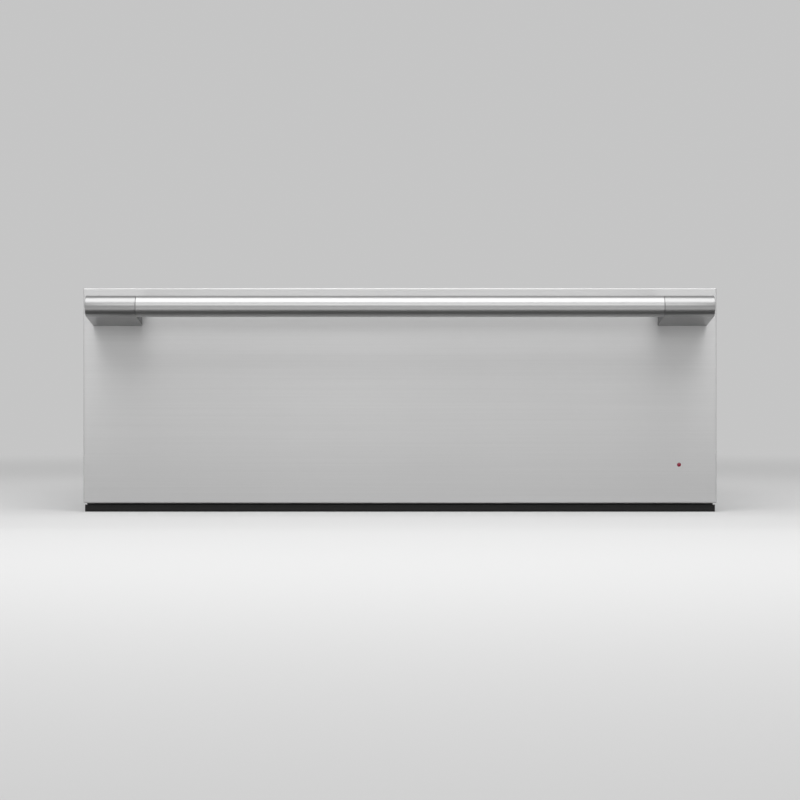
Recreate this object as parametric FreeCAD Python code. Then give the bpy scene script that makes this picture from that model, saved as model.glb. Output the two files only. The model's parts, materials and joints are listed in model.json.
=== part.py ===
import FreeCAD
import Part

import math
import os

# A built-in warming drawer, 759 mm wide: a steel chassis with a heated, insulated cavity, and a drawer that
# rolls out of it on telescopic ball runners behind a stainless front with a round bar handle.
#
# Millimetres. +X is to the right of someone facing the drawer, +Y goes into the cabinet, +Z is up.
# The origin is under the middle of the whole object: the face that it rests on is z = 0.
# Each function makes one piece, and the table at the end writes each piece to parts/NAME.step.

# ---------------------------------------------------------------- driving sizes

# Drawer front: a stainless tray, open at the back.
FRONT_WIDTH = 759.0
FRONT_HEIGHT = 258.0
FRONT_DEPTH = 20.0
FRONT_SHEET = 1.2
FRONT_FOLD_RADIUS = 1.6  # outside the folds at the top and bottom
FRONT_SIDE_RADIUS = 1.0

# Inner panel, which closes the back of that tray.
INNER_SHEET = 1.0
INNER_LIP = 14.0
INNER_CLEARANCE = 0.4

# Handle: a tube between two end brackets.
HANDLE_DIAMETER = 25.0
HANDLE_WALL = 2.0
HANDLE_INSET = 11.5  # from the front's edges to the brackets' outer ends
HANDLE_PROJECTION = 68.0
HANDLE_DROP = 24.5  # from the top of the front to the bar's axis
BRACKET_WIDTH = 59.0
BRACKET_HEEL = 21.0  # how far the bracket's foot reaches below the bar's axis
BRACKET_EDGE = 0.8
SPIGOT_LENGTH = 16.0
SPIGOT_CLEARANCE = 0.15
HANDLE_SCREW_DIAMETER = 6.0
HANDLE_SCREW_DEPTH = 16.0
HANDLE_SCREW_SHORTER = 1.0  # than its hole in the bracket
HANDLE_SCREW_SPACING = 34.0
HANDLE_HEAD = 10.0
HANDLE_HEAD_HEIGHT = 4.0
BACKING_PLATE = 3.0
BACKING_HEIGHT = 30.0
BACKING_RADIUS = 3.0
SLAB_CLEARANCE = 2.0  # round what stands in the door's insulation

# Pilot light, near the lower right corner of the front.
LIGHT_DIAMETER = 4.6
LIGHT_INSET = 45.0  # from the front's right edge
LIGHT_RISE = 46.2  # from its lower edge
LIGHT_FLANGE = 8.0
LIGHT_FLANGE_SHEET = 1.5
LIGHT_BODY_LENGTH = 12.0
LIGHT_PROUD = 0.6

# Black trim under the front.
TRIM_HEIGHT = 8.5
TRIM_GAP = 2.0
TRIM_SETBACK = 6.0
TRIM_SHEET = 1.2
TRIM_SHORTER = 1.0  # at each end, than the front
TRIM_BACK_HEIGHT = 13.0  # of its rear wall, which lies against the casing

# Outer casing and its covers.
CASING_WIDTH = 712.0
CASING_DROP = 7.5  # of the casing's top flanges, from the front's top edge
CASING_DEPTH = 546.0
CASING_SHEET = 1.0
BACK_RECESS = 12.0  # of the back panel, from the casing's rear edge
BEND_RADIUS = 1.5
COVER_SEAT = 14.0  # the casing's top flanges, which carry the cover
COVER_SCREWS = 4  # along each side
COVER_SCREW_END = 30.0
FIXING_FLANGE = 16.0
FIXING_RELIEF = 12.0  # how far the fixing flanges stop short of the casing's corners
FIXING_HOLE = 4.6
FIXING_HOLE_Z = (40.0, 222.0)
FRAME_SHEET = 1.2
FRAME_LIP = 12.0
FIT = 0.3  # between a pressed piece and the piece that it drops into

# Stiffening beads in the top cover and the casing's sides, and slots in the back panel and the sides.
BEAD_COUNT = 5
BEAD_WIDTH = 26.0
BEAD_RISE = 2.0
BEAD_MARGIN = 60.0  # of a bead's ends from the casing's, and of the first bead from the cover's side
SIDE_BEAD_SPREAD = 120.0  # between the two beads in each side
VENT_COUNT = 9
VENT_LENGTH = 64.0
VENT_WIDTH = 4.0
VENT_PITCH = 11.0
VENT_GROUP_X = 210.0
SIDE_VENT_COUNT = 3  # upright slots in each side, at the rear compartment
SIDE_VENT_PITCH = 11.0
SIDE_VENT_INSET = 22.0  # of the last one, from the casing's rear edge

# Heated cavity.
LINER_SHEET = 1.0
LINER_RADIUS = 6.0
SIDE_INSULATION = 9.0
TOP_INSULATION = 12.0
FLOOR_INSULATION = 24.0

# Door seal between the chassis and the inner panel.
SEAL_GAP = 4.0
SEAL_WIDTH = 8.0
SEAL_INSET = 1.0  # of its inner edge from the cavity's
SEAL_SQUEEZE_GAP = 0.3

# Telescopic runners. Each has three nested members and two ball cages.
RUNNER_HEIGHT = 45.7
RUNNER_THICKNESS = 12.7
RUNNER_SHEET = 1.2
RUNNER_Z = 130.0
RUNNER_SETBACK = 6.0  # from the casing's front to the members' front ends
RUNNER_BACK_GAP = 33.0  # from their back ends to the cavity's back wall
RUNNER_WEB_GAP = 1.2
RUNNER_LIP_GAP = 2.2
RUNNER_INNER_LIP = 6.2
RUNNER_HOOK = 0.8  # how far the lips of the outer and inner members turn towards the balls
RUNNER_HOOK_WIDTH = 1.6
RUNNER_BALL_GAP = 0.15
BALL_LINE = 8.2  # from the cavity's wall to the middle of the balls
BALL_DIAMETER = 3.9
BALL_CLEARANCE = 0.3
BALLS_PER_ROW = 3
CAGE_SHEET = 0.6
CAGE_LENGTH = 200.0
CAGE_SHORTER = 1.0  # its lips, than those of the members

# Drawer pan.
PAN_BACK_GAP = 8.0  # from its rim to the fan's cover
PAN_HEIGHT = 145.0
PAN_Z = 60.0
PAN_SHEET = 1.0
PAN_CORNER_RADIUS = 3.0
PAN_FLOOR_RADIUS = 3.0
PAN_RIM = 7.0

# Mat that lies in the pan.
MAT_THICKNESS = 2.0
MAT_MARGIN = 11.0
MAT_RADIUS = 6.0

# Tubular heating element, bent into a serpentine under the pan.
ELEMENT_DIAMETER = 6.5
ELEMENT_HEIGHT = 12.0  # of its axis over the cavity floor
ELEMENT_RUNS = 6
ELEMENT_PITCH = 84.0
ELEMENT_BEND = 40.0
ELEMENT_TERMINAL = 16.0  # how far its ends stand out behind the cavity
ELEMENT_FRONT = 60.0  # from the casing's front to the outside of the front bends
ELEMENT_BACK_GAP = 69.0  # from the outside of the back bends to the cavity's back wall
BUSH_DIAMETER = 11.0
BUSH_COLLAR = 15.0
BUSH_COLLAR_LENGTH = 3.0
BUSH_END = 4.0  # how far the element's ends stand out of the bushes
CLIP_SHEET = 1.0
CLIP_WIDTH = 8.0
CLIP_FOOT = 10.0
CLIP_INSET = 70.0  # from the element's bends
CLIP_LEG = 1.5  # pitches from the middle

# Circulation fan at the back of the cavity.
FAN_DIAMETER = 110.0
FAN_RISE = 3.5  # of the fan's axis over the middle of the cavity
FAN_BLADES = 24
FAN_BLADE_WIDTH = 15.0
FAN_BLADE_SHEET = 1.0
FAN_HUB_DIAMETER = 16.0
FAN_BLADE_DEPTH = 13.0
FAN_BLADE_RADIUS = 11.0
FAN_BLADE_ANGLES = (60, 120)  # degrees of the blade's own arc
FAN_HUB_INSET = 3.0  # of the hub's front end, from the ring
FAN_WALL_GAP = 4.5
SHAFT_DIAMETER = 5.0
SHAFT_CLEARANCE = 0.05
SHAFT_HOLE = 12.0
MOTOR_DIAMETER = 56.0
MOTOR_LENGTH = 32.0
MOTOR_STANDOFF = 7.0
MOTOR_BACK_GAP = 4.0  # from the motor to the back panel
MOTOR_EDGE = 3.0
MOTOR_GROOVES = (9.5, 19.0)  # from the motor's front end
MOTOR_GROOVE_WIDTH = 1.5
MOTOR_GROOVE_DEPTH = 1.0
SHAFT_REACH = 25.5  # of the shaft into the motor
BRACKET_HEIGHT = 30.0
BRACKET_FOOT = 14.0
BRACKET_REACH = 6.0  # beyond the motor, at each side
BRACKET_BEND = 0.8
COVER_WIDTH = 220.0
COVER_HEIGHT = 150.0
COVER_DEPTH = 26.0
COVER_RADIUS = 10.0
COVER_FLANGE = 12.0
INTAKE_RINGS = 3
INTAKE_PITCH = 11.0
INTAKE_HOLE = 6.0
OUTLET_SLOTS = 7
OUTLET_PITCH = 14.0
OUTLET_LENGTH = 14.0
PROBE_DIAMETER = 5.0
PROBE_LENGTH = 22.0
PROBE_X = 170.0
PROBE_Z = 205.0
PROBE_TAIL = 8.0
PROBE_FLANGE = 2.0
CUTOUT_FLANGE_DIAMETER = 24.0
CUTOUT_DIAMETER = 17.0
CUTOUT_HEIGHT = 12.0

# Hidden controls in the top edge of the front.
STRIP_LENGTH = 168.0
STRIP_WIDTH = 11.0
STRIP_INSET = 174.5  # of its middle, from the front's right edge
STRIP_CLEARANCE = 0.2
STRIP_FLANGE = 1.2
STRIP_THICKNESS = 3.2
BUTTON_COUNT = 4
BUTTON_NAMES = ("power", "function", "temperature", "timer")
BUTTON_PITCH = 36.0
BUTTON_DIAMETER = 8.0
BUTTON_CLEARANCE = 0.3
BUTTON_TRAVEL = 1.0
BUTTON_SKIRT = 10.5
BUTTON_SKIRT_HEIGHT = 1.5
BUTTON_EDGE = 0.6
BOARD_THICKNESS = 1.6
SWITCH_SIDE = 6.0
SWITCH_HEIGHT = 2.0
POST_DIAMETER = 4.0
POST_INSET = 4.0  # of the posts that carry the board, from its ends

# Parts in the rear compartment.
BOARD_BOX = (120.0, 36.0, 96.0)
BOARD_BOX_X = -230.0
BOARD_BOX_Z = 50.0
BOARD_BOX_RADIUS = 4.0
TERMINAL_BLOCK = (64.0, 30.0, 24.0)
TERMINAL_COUNT = 3
TERMINAL_CHAMBER = 6.0
TERMINAL_ENTRY = 5.0
TERMINAL_DEPTH = 8.0  # of the chambers' middles, from the block's front
TERMINAL_FLOOR = 4.0
INLET_X = 270.0
INLET_Z = 42.0
INLET_BORE = 9.0
INLET_THREAD = 20.0
INLET_HEX = 26.0
GLAND_HEAD = 10.0
GLAND_NUT = 5.0

# Small screws that hold covers, clips and pan.
SCREW_HEAD = 7.0
SCREW_HEAD_HEIGHT = 2.0
SCREW_SHANK = 3.5
SCREW_LENGTH = 8.0
RUNNER_SCREW_LENGTH = 4.0
RUNNER_SCREWS = 3  # in each inner member
RUNNER_SCREW_END = 60.0  # from the ends of the inner member
PAN_SCREW_XS = (-260.0, -90.0, 90.0, 260.0)
PAN_SCREW_DROP = 30.0  # below the pan's rim

# ---------------------------------------------------------------- places that follow from the sizes

V = FreeCAD.Vector
overall_depth = HANDLE_PROJECTION + FRONT_DEPTH + SEAL_GAP + CASING_DEPTH
front_y = HANDLE_PROJECTION - overall_depth / 2
front_back_y = front_y + FRONT_DEPTH
casing_y = front_back_y + SEAL_GAP
casing_back_y = casing_y + CASING_DEPTH
back_plate_y = casing_back_y - BACK_RECESS
motor_back_y = back_plate_y - CASING_SHEET - MOTOR_BACK_GAP
cavity_back_y = motor_back_y - MOTOR_LENGTH - MOTOR_STANDOFF

front_bottom_z = TRIM_HEIGHT + TRIM_GAP
front_top_z = front_bottom_z + FRONT_HEIGHT
casing_height = front_top_z - CASING_DROP
handle_z = front_top_z - HANDLE_DROP
handle_y = front_y - HANDLE_PROJECTION + HANDLE_DIAMETER / 2
bracket_inner_x = FRONT_WIDTH / 2 - HANDLE_INSET - BRACKET_WIDTH
light_x = FRONT_WIDTH / 2 - LIGHT_INSET
light_z = front_bottom_z + LIGHT_RISE

casing_inner_x = CASING_WIDTH / 2 - CASING_SHEET
liner_outer_x = casing_inner_x - SIDE_INSULATION - 2 * FIT
liner_inner_x = liner_outer_x - LINER_SHEET
liner_bottom_z = CASING_SHEET + FLOOR_INSULATION + 2 * FIT
cavity_floor_z = liner_bottom_z + LINER_SHEET
liner_top_z = casing_height - CASING_SHEET - TOP_INSULATION - 2 * FIT
cavity_roof_z = liner_top_z - LINER_SHEET
cavity_back_inner_y = cavity_back_y - LINER_SHEET
fan_z = (cavity_floor_z + cavity_roof_z) / 2 + FAN_RISE
liner_front_y = casing_y + FRAME_SHEET

pan_outer_x = liner_inner_x - RUNNER_THICKNESS
pan_floor_z = PAN_Z + PAN_SHEET
pan_back_y = cavity_back_inner_y - COVER_DEPTH - PAN_BACK_GAP - PAN_RIM
pan_top_z = PAN_Z + PAN_HEIGHT
mat_top_z = pan_floor_z + MAT_THICKNESS
runner_y = casing_y + RUNNER_SETBACK
runner_length = cavity_back_inner_y - RUNNER_BACK_GAP - runner_y

element_z = cavity_floor_z + ELEMENT_HEIGHT
element_front_y = casing_y + ELEMENT_FRONT
element_back_y = cavity_back_inner_y - ELEMENT_BACK_GAP
strip_x = FRONT_WIDTH / 2 - STRIP_INSET
strip_y = front_y + FRONT_DEPTH / 2
strip_bottom_z = front_top_z - STRIP_THICKNESS
button_skirt_top_z = strip_bottom_z - BUTTON_CLEARANCE
switch_top_z = button_skirt_top_z - BUTTON_SKIRT_HEIGHT - BUTTON_TRAVEL - BUTTON_CLEARANCE
board_top_z = switch_top_z - SWITCH_HEIGHT


# ---------------------------------------------------------------- shapes that several pieces use


def box(x0, x1, y0, y1, z0, z1):
    """A block between two corners."""
    return Part.makeBox(x1 - x0, y1 - y0, z1 - z0, V(x0, y0, z0))


def centred_box(half_x, y0, y1, z0, z1):
    """A block that is symmetric about x = 0."""
    return box(-half_x, half_x, y0, y1, z0, z1)


def rod(radius, start, end):
    """A round bar from one point to another."""
    line = V(*end) - V(*start)
    return Part.makeCylinder(radius, line.Length, V(*start), line)


def edges_along(shape, axis):
    """The straight edges of a shape that run along x, y or z."""
    direction = {"x": V(1, 0, 0), "y": V(0, 1, 0), "z": V(0, 0, 1)}[axis]
    found = []
    for edge in shape.Edges:
        line = edge.Vertexes[-1].Point - edge.Vertexes[0].Point
        if line.Length > 1e-6 and abs(abs(line.normalize().dot(direction)) - 1) < 1e-6:
            found.append(edge)
    return found


def rounded_block(block, radius, axis):
    """A block with its four edges along one axis rounded."""
    return block.makeFillet(radius, edges_along(block, axis))


def in_plane(plane, u, v, at):
    """A point from its two coordinates in a plane, at a height along the plane's normal."""
    return {"xz": V(u, at, v), "xy": V(u, v, at), "yz": V(at, u, v)}[plane]


def pulled(face, plane, length):
    """A face in a plane, extruded along the plane's normal."""
    return face.extrude({"xz": V(0, length, 0), "xy": V(0, 0, length), "yz": V(length, 0, 0)}[plane])


def bent_sheet(path, sheet, radius, plane, start, end):
    """A bent strip of sheet metal. The path runs through the middle of the sheet, and every corner of it is
    bent to the inner radius. The strip reaches from start to end along the plane's normal."""
    middle = radius + sheet / 2
    sides = {1: [], -1: []}
    last = {side: None for side in sides}
    for i, point in enumerate(path):
        before = path[i - 1] if i else None
        after = path[i + 1] if i + 1 < len(path) else None
        ahead = unit(point, after) if after else unit(before, point)
        back = unit(before, point) if before else ahead
        across = back[0] * ahead[1] - back[1] * ahead[0]
        along = back[0] * ahead[0] + back[1] * ahead[1]
        turn = math.atan2(across, along)
        for side in sides:
            shift = side * sheet / 2
            entry = (point[0] - back[1] * shift, point[1] + back[0] * shift)
            if abs(turn) < 1e-9:
                add_line(sides[side], last[side], entry, plane, start)
                last[side] = entry
                continue
            reach = middle * math.tan(abs(turn) / 2)
            lean = math.copysign(1.0, turn)
            bend_in = (point[0] - back[0] * reach, point[1] - back[1] * reach)
            bend_out = (point[0] + ahead[0] * reach, point[1] + ahead[1] * reach)
            centre = (bend_in[0] - back[1] * middle * lean, bend_in[1] + back[0] * middle * lean)
            towards = unit(centre, point)
            bend = middle - shift * lean
            first = (bend_in[0] - back[1] * shift, bend_in[1] + back[0] * shift)
            top = (centre[0] + towards[0] * bend, centre[1] + towards[1] * bend)
            final = (bend_out[0] - ahead[1] * shift, bend_out[1] + ahead[0] * shift)
            add_line(sides[side], last[side], first, plane, start)
            arc = Part.Arc(*[in_plane(plane, *p, start) for p in (first, top, final)])
            sides[side].append(arc.toShape())
            last[side] = final
    ends = []
    for edge_end in (0, -1):
        pair = [sides[side][edge_end].Vertexes[edge_end].Point for side in sides]
        ends.append(Part.LineSegment(*pair).toShape())
    outline = Part.Wire(Part.__sortEdges__(sides[1] + sides[-1] + ends))
    return pulled(Part.Face(outline), plane, end - start)


def unit(start, end):
    """The direction from one 2-D point to another."""
    line = (end[0] - start[0], end[1] - start[1])
    length = math.hypot(*line)
    return (line[0] / length, line[1] / length)


def add_line(edges, start, end, plane, at):
    """Adds a straight edge to a list, if there is a point to start it from."""
    if start is not None:
        first, last = [in_plane(plane, *point, at) for point in (start, end)]
        edges.append(Part.LineSegment(first, last).toShape())


def stadium(length, width, plane, centre_u, centre_v, start, end):
    """A slot with round ends. It lies along the plane's first axis, from start to end along its normal."""
    reach = (length - width) / 2
    half = width / 2
    corners = [(-reach, -half), (reach, -half), (reach, half), (-reach, half)]
    tips = [(reach + half, 0.0), (-reach - half, 0.0)]
    at = [in_plane(plane, centre_u + u, centre_v + v, start) for u, v in corners]
    tip = [in_plane(plane, centre_u + u, centre_v + v, start) for u, v in tips]
    edges = [
        Part.LineSegment(at[0], at[1]).toShape(),
        Part.Arc(at[1], tip[0], at[2]).toShape(),
        Part.LineSegment(at[2], at[3]).toShape(),
        Part.Arc(at[3], tip[1], at[0]).toShape(),
    ]
    return pulled(Part.Face(Part.Wire(edges)), plane, end - start)


def swept_wire(points, bend_radius, wire_radius):
    """A round wire along a path of straight runs, with its corners bent."""
    edges = []
    last = points[0]
    for before, corner, after in zip(points, points[1:], points[2:]):
        arrive = (corner - before).normalize()
        leave = (after - corner).normalize()
        turn = arrive.getAngle(leave)
        reach = bend_radius * math.tan(turn / 2)
        first = corner - arrive * reach
        final = corner + leave * reach
        centre = corner + (leave - arrive).normalize() * (bend_radius / math.cos(turn / 2))
        top = centre + (corner - centre).normalize() * bend_radius
        if (first - last).Length > 1e-6:
            edges.append(Part.LineSegment(last, first).toShape())
        edges.append(Part.Arc(first, top, final).toShape())
        last = final
    edges.append(Part.LineSegment(last, points[-1]).toShape())
    spine = Part.Wire(edges)
    section = Part.Wire(Part.makeCircle(wire_radius, points[0], points[1] - points[0]))
    return spine.makePipeShell([section], True, False)


def mirrored(shape):
    """The left-hand twin of a right-hand piece."""
    return shape.mirror(V(0, 0, 0), V(1, 0, 0))


def screw(head, out, length=SCREW_LENGTH):
    """A pan-head screw. head is the place of its head's underside, and out is the way that it faces."""
    way = V(*out)
    seat = V(*head)
    cap = Part.makeCylinder(SCREW_HEAD / 2, SCREW_HEAD_HEIGHT, seat, way)
    rim = [e for e in cap.Edges if (e.CenterOfMass - seat).dot(way) > SCREW_HEAD_HEIGHT * 0.9]
    cap = cap.makeFillet(SCREW_HEAD_HEIGHT * 0.4, rim)
    shank = Part.makeCylinder(SCREW_SHANK / 2, length, seat - way * length, way)
    return cap.fuse(shank).removeSplitter()


def screw_hole(head, out, depth=SCREW_LENGTH):
    """What a screw's shank needs cut out of the pieces that it passes through."""
    way = V(*out)
    return Part.makeCylinder(SCREW_SHANK / 2, depth + 1.0, V(*head) - way * depth, way)


def hexagon(across_flats, centre_x, centre_z, start, end):
    """A six-sided prism along y, such as a nut."""
    corner = across_flats / math.sqrt(3)
    turns = [math.radians(60 * i) for i in range(7)]
    points = [V(centre_x + corner * math.cos(t), start, centre_z + corner * math.sin(t)) for t in turns]
    return pulled(Part.Face(Part.makePolygon(points)), "xz", end - start)


def curved_blade(centre_u, centre_v, radius, sheet, first, last, start, end):
    """A blade along y whose section is a band of a circle, between two angles in degrees."""
    middle = (first + last) / 2
    rims = []
    for rim in (radius - sheet / 2, radius + sheet / 2):
        turns = [math.radians(a) for a in (first, middle, last)]
        rims.append([V(centre_u + rim * math.cos(t), start, centre_v + rim * math.sin(t)) for t in turns])
    inner, outer = rims
    edges = [
        Part.Arc(*inner).toShape(),
        Part.LineSegment(inner[2], outer[2]).toShape(),
        Part.Arc(*outer).toShape(),
        Part.LineSegment(outer[0], inner[0]).toShape(),
    ]
    return pulled(Part.Face(Part.Wire(Part.__sortEdges__(edges))), "xz", end - start)


def edges_at(shape, axis, value):
    """The edges of a shape that lie wholly in the plane where one coordinate has the value."""
    low = {"x": "XMin", "y": "YMin", "z": "ZMin"}[axis]
    high = {"x": "XMax", "y": "YMax", "z": "ZMax"}[axis]
    found = []
    for edge in shape.Edges:
        limits = [getattr(edge.BoundBox, name) for name in (low, high)]
        if all(abs(limit - value) < 1e-4 for limit in limits):
            found.append(edge)
    return found


# ---------------------------------------------------------------- drawer front


def tray_block(inset, open_back):
    """The front's outer form, or what is hollow inside it when inset by the sheet."""
    half = FRONT_WIDTH / 2 - inset
    bottom = front_bottom_z + inset
    top = front_top_z - inset
    block = centred_box(half, front_y + inset, front_back_y + open_back, bottom, top)
    folds = [e for e in edges_along(block, "x") if abs(e.CenterOfMass.y - front_y - inset) < 1e-6]
    return block.makeFillet(FRONT_FOLD_RADIUS - inset, folds)


def handle_screw_xs():
    """Where the handle's screws are, from left to right."""
    middle = bracket_inner_x + BRACKET_WIDTH / 2
    return [side * middle + step * HANDLE_SCREW_SPACING / 2 for side in (-1, 1) for step in (-1, 1)]


def front_panel():
    """The stainless front: a folded tray with holes for the handle's screws, the light and the controls."""
    panel = tray_block(0.0, 0.0)
    side_edges = [e for e in edges_along(panel, "z") if abs(e.CenterOfMass.y - front_y) < 1e-6]
    panel = panel.makeFillet(FRONT_SIDE_RADIUS, side_edges)
    panel = panel.cut(tray_block(FRONT_SHEET, 1.0))
    for x in handle_screw_xs():
        hole = HANDLE_SCREW_DIAMETER / 2 + FIT
        panel = panel.cut(rod(hole, (x, front_y - 1, handle_z), (x, front_y + 2 * FRONT_SHEET, handle_z)))
    light = LIGHT_DIAMETER / 2 + STRIP_CLEARANCE
    inside = front_y + 2 * FRONT_SHEET
    panel = panel.cut(rod(light, (light_x, front_y - 1, light_z), (light_x, inside, light_z)))
    gap = 2 * STRIP_CLEARANCE
    slot_start = front_top_z - FRONT_SHEET - 0.5
    length = STRIP_LENGTH + gap
    width = STRIP_WIDTH + gap
    return panel.cut(stadium(length, width, "xy", strip_x, strip_y, slot_start, front_top_z + 1))


def inner_panel_box(inset, y0, y1):
    """The inner panel's outline, inset by some amount."""
    gap = FRONT_SHEET + INNER_CLEARANCE + inset
    return centred_box(FRONT_WIDTH / 2 - gap, y0, y1, front_bottom_z + gap, front_top_z - gap)


def door_inner_panel():
    """A tray that drops into the front's open back, with its lips forward and a notch for the controls."""
    tray = inner_panel_box(0.0, front_back_y - INNER_LIP, front_back_y)
    hollow = inner_panel_box(INNER_SHEET, front_back_y - INNER_LIP - 1, front_back_y - INNER_SHEET)
    reach = STRIP_LENGTH / 2 + STRIP_FLANGE + BUTTON_CLEARANCE
    depth = STRIP_WIDTH / 2 + STRIP_FLANGE + BUTTON_CLEARANCE
    notch = box(strip_x - reach, strip_x + reach, strip_y - depth, strip_y + depth, board_top_z, front_top_z)
    tray = tray.cut(hollow).cut(notch)
    for place in pan_screw_places():
        tray = tray.cut(screw_hole(place, (0, 1, 0)))
    return tray


def backing_box(side, spare):
    """The space of one backing plate, with spare room round it."""
    x0 = bracket_inner_x + BRACKET_EDGE - spare
    x1 = bracket_inner_x + BRACKET_WIDTH - BRACKET_EDGE + spare
    low, high = sorted((side * x0, side * x1))
    back = front_y + FRONT_SHEET + BACKING_PLATE + (HANDLE_HEAD_HEIGHT + spare if spare else 0.0)
    z0 = handle_z - BACKING_HEIGHT / 2 - spare
    return box(low, high, front_y + FRONT_SHEET, back, z0, handle_z + BACKING_HEIGHT / 2 + spare)


def door_insulation():
    """A slab of mineral wool that fills the front below the controls."""
    top = board_top_z - BOARD_THICKNESS - SLAB_CLEARANCE
    gap = FRONT_SHEET + INNER_CLEARANCE + INNER_SHEET + FIT
    half = FRONT_WIDTH / 2 - gap
    back = front_back_y - INNER_SHEET - FIT
    slab = centred_box(half, front_y + FRONT_SHEET + FIT, back, front_bottom_z + gap, top)
    for side in (-1, 1):
        slab = slab.cut(backing_box(side, SLAB_CLEARANCE))
    pocket = LIGHT_FLANGE / 2 + SLAB_CLEARANCE
    slab = slab.cut(rod(pocket, (light_x, front_y, light_z), (light_x, front_back_y, light_z)))
    for x, y, z in pan_screw_places():
        slab = slab.cut(rod(SCREW_HEAD / 2, (x, y - SCREW_LENGTH - 1, z), (x, y, z)))
    return slab


def door_seal():
    """A soft seal round the opening, on the back of the inner panel."""
    back = casing_y - SEAL_SQUEEZE_GAP
    wide = SEAL_INSET + SEAL_WIDTH
    low = cavity_floor_z
    high = cavity_roof_z
    outer = centred_box(liner_inner_x + wide, front_back_y, back, low - wide, high + wide)
    edge = SEAL_INSET
    inner = centred_box(liner_inner_x + edge, front_back_y - 1, back + 1, low - edge, high + edge)
    return rounded_block(outer, wide, "y").cut(rounded_block(inner, LINER_RADIUS, "y"))


def handle_bar():
    """The tube between the brackets."""
    ends = [(side * bracket_inner_x, handle_y, handle_z) for side in (-1, 1)]
    return rod(HANDLE_DIAMETER / 2, *ends).cut(rod(HANDLE_DIAMETER / 2 - HANDLE_WALL, *ends))


def handle_bracket():
    """The right bracket: round in front like the bar, flat above, and deeper where it meets the front."""
    radius = HANDLE_DIAMETER / 2
    top = handle_z + radius
    x0 = bracket_inner_x
    corners = [V(x0, front_y, top), V(x0, handle_y, top)]
    under = [V(x0, handle_y, handle_z - radius), V(x0, front_y, handle_z - BRACKET_HEEL)]
    edges = [
        Part.LineSegment(*corners).toShape(),
        Part.Arc(corners[1], V(x0, handle_y - radius, handle_z), under[0]).toShape(),
        Part.LineSegment(*under).toShape(),
        Part.LineSegment(under[1], corners[0]).toShape(),
    ]
    body = pulled(Part.Face(Part.Wire(edges)), "yz", BRACKET_WIDTH)
    outer_end = [e for e in edges_at(body, "x", x0 + BRACKET_WIDTH) if e.CenterOfMass.y < front_y - 1]
    body = body.makeFillet(BRACKET_EDGE, outer_end)
    spigot = HANDLE_DIAMETER / 2 - HANDLE_WALL - SPIGOT_CLEARANCE
    body = body.fuse(rod(spigot, (x0 - SPIGOT_LENGTH, handle_y, handle_z), (x0 + 1, handle_y, handle_z)))
    for x in handle_screw_xs()[2:]:
        hole = HANDLE_SCREW_DIAMETER / 2 + SHAFT_CLEARANCE
        body = body.cut(rod(hole, (x, front_y + 1, handle_z), (x, front_y - HANDLE_SCREW_DEPTH, handle_z)))
    return body.removeSplitter()


def handle_backing_plates():
    """The plates behind the front that the handle's screws pull against."""
    plates = []
    for side in (-1, 1):
        plate = rounded_block(backing_box(side, 0.0), BACKING_RADIUS, "y")
        for x in handle_screw_xs():
            hole = HANDLE_SCREW_DIAMETER / 2 + FIT
            plate = plate.cut(rod(hole, (x, front_y, handle_z), (x, front_back_y, handle_z)))
        plates.append(plate)
    return Part.makeCompound(plates)


def handle_screws():
    """Four screws, from inside the front through the backing plates into the brackets."""
    seat = front_y + FRONT_SHEET + BACKING_PLATE
    screws = []
    for x in handle_screw_xs():
        head = rod(HANDLE_HEAD / 2, (x, seat, handle_z), (x, seat + HANDLE_HEAD_HEIGHT, handle_z))
        tip = front_y - HANDLE_SCREW_DEPTH + HANDLE_SCREW_SHORTER
        shank = rod(HANDLE_SCREW_DIAMETER / 2, (x, seat, handle_z), (x, tip, handle_z))
        screws.append(head.fuse(shank).removeSplitter())
    return Part.makeCompound(screws)


def pilot_lens():
    """The light's lens: a short domed pin with a flange behind the front's sheet."""
    radius = LIGHT_DIAMETER / 2
    seat = front_y + FRONT_SHEET
    back = seat + LIGHT_FLANGE_SHEET
    pin = rod(radius, (light_x, front_y - LIGHT_PROUD, light_z), (light_x, back, light_z))
    pin = pin.makeFillet(LIGHT_PROUD, edges_at(pin, "y", front_y - LIGHT_PROUD))
    return pin.fuse(rod(LIGHT_FLANGE / 2, (light_x, seat, light_z), (light_x, back, light_z)))


def pilot_lamp_holder():
    """The lamp's body, behind the lens."""
    start = front_y + FRONT_SHEET + LIGHT_FLANGE_SHEET
    return rod(LIGHT_FLANGE / 2, (light_x, start, light_z), (light_x, start + LIGHT_BODY_LENGTH, light_z))


def button_xs():
    """Where the buttons are along the front's top edge."""
    middle = (BUTTON_COUNT - 1) / 2
    return [strip_x + (i - middle) * BUTTON_PITCH for i in range(BUTTON_COUNT)]


def control_strip():
    """The black strip that is let into the top edge, with a flange under the sheet."""
    seat = front_top_z - FRONT_SHEET
    strip = stadium(STRIP_LENGTH, STRIP_WIDTH, "xy", strip_x, strip_y, seat - 0.5, front_top_z)
    flange = [size + 2 * STRIP_FLANGE for size in (STRIP_LENGTH, STRIP_WIDTH)]
    strip = strip.fuse(stadium(*flange, "xy", strip_x, strip_y, strip_bottom_z, seat))
    for x in button_xs():
        hole = BUTTON_DIAMETER / 2 + BUTTON_CLEARANCE
        strip = strip.cut(rod(hole, (x, strip_y, strip_bottom_z - 1), (x, strip_y, front_top_z + 1)))
    return strip.removeSplitter()


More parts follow.
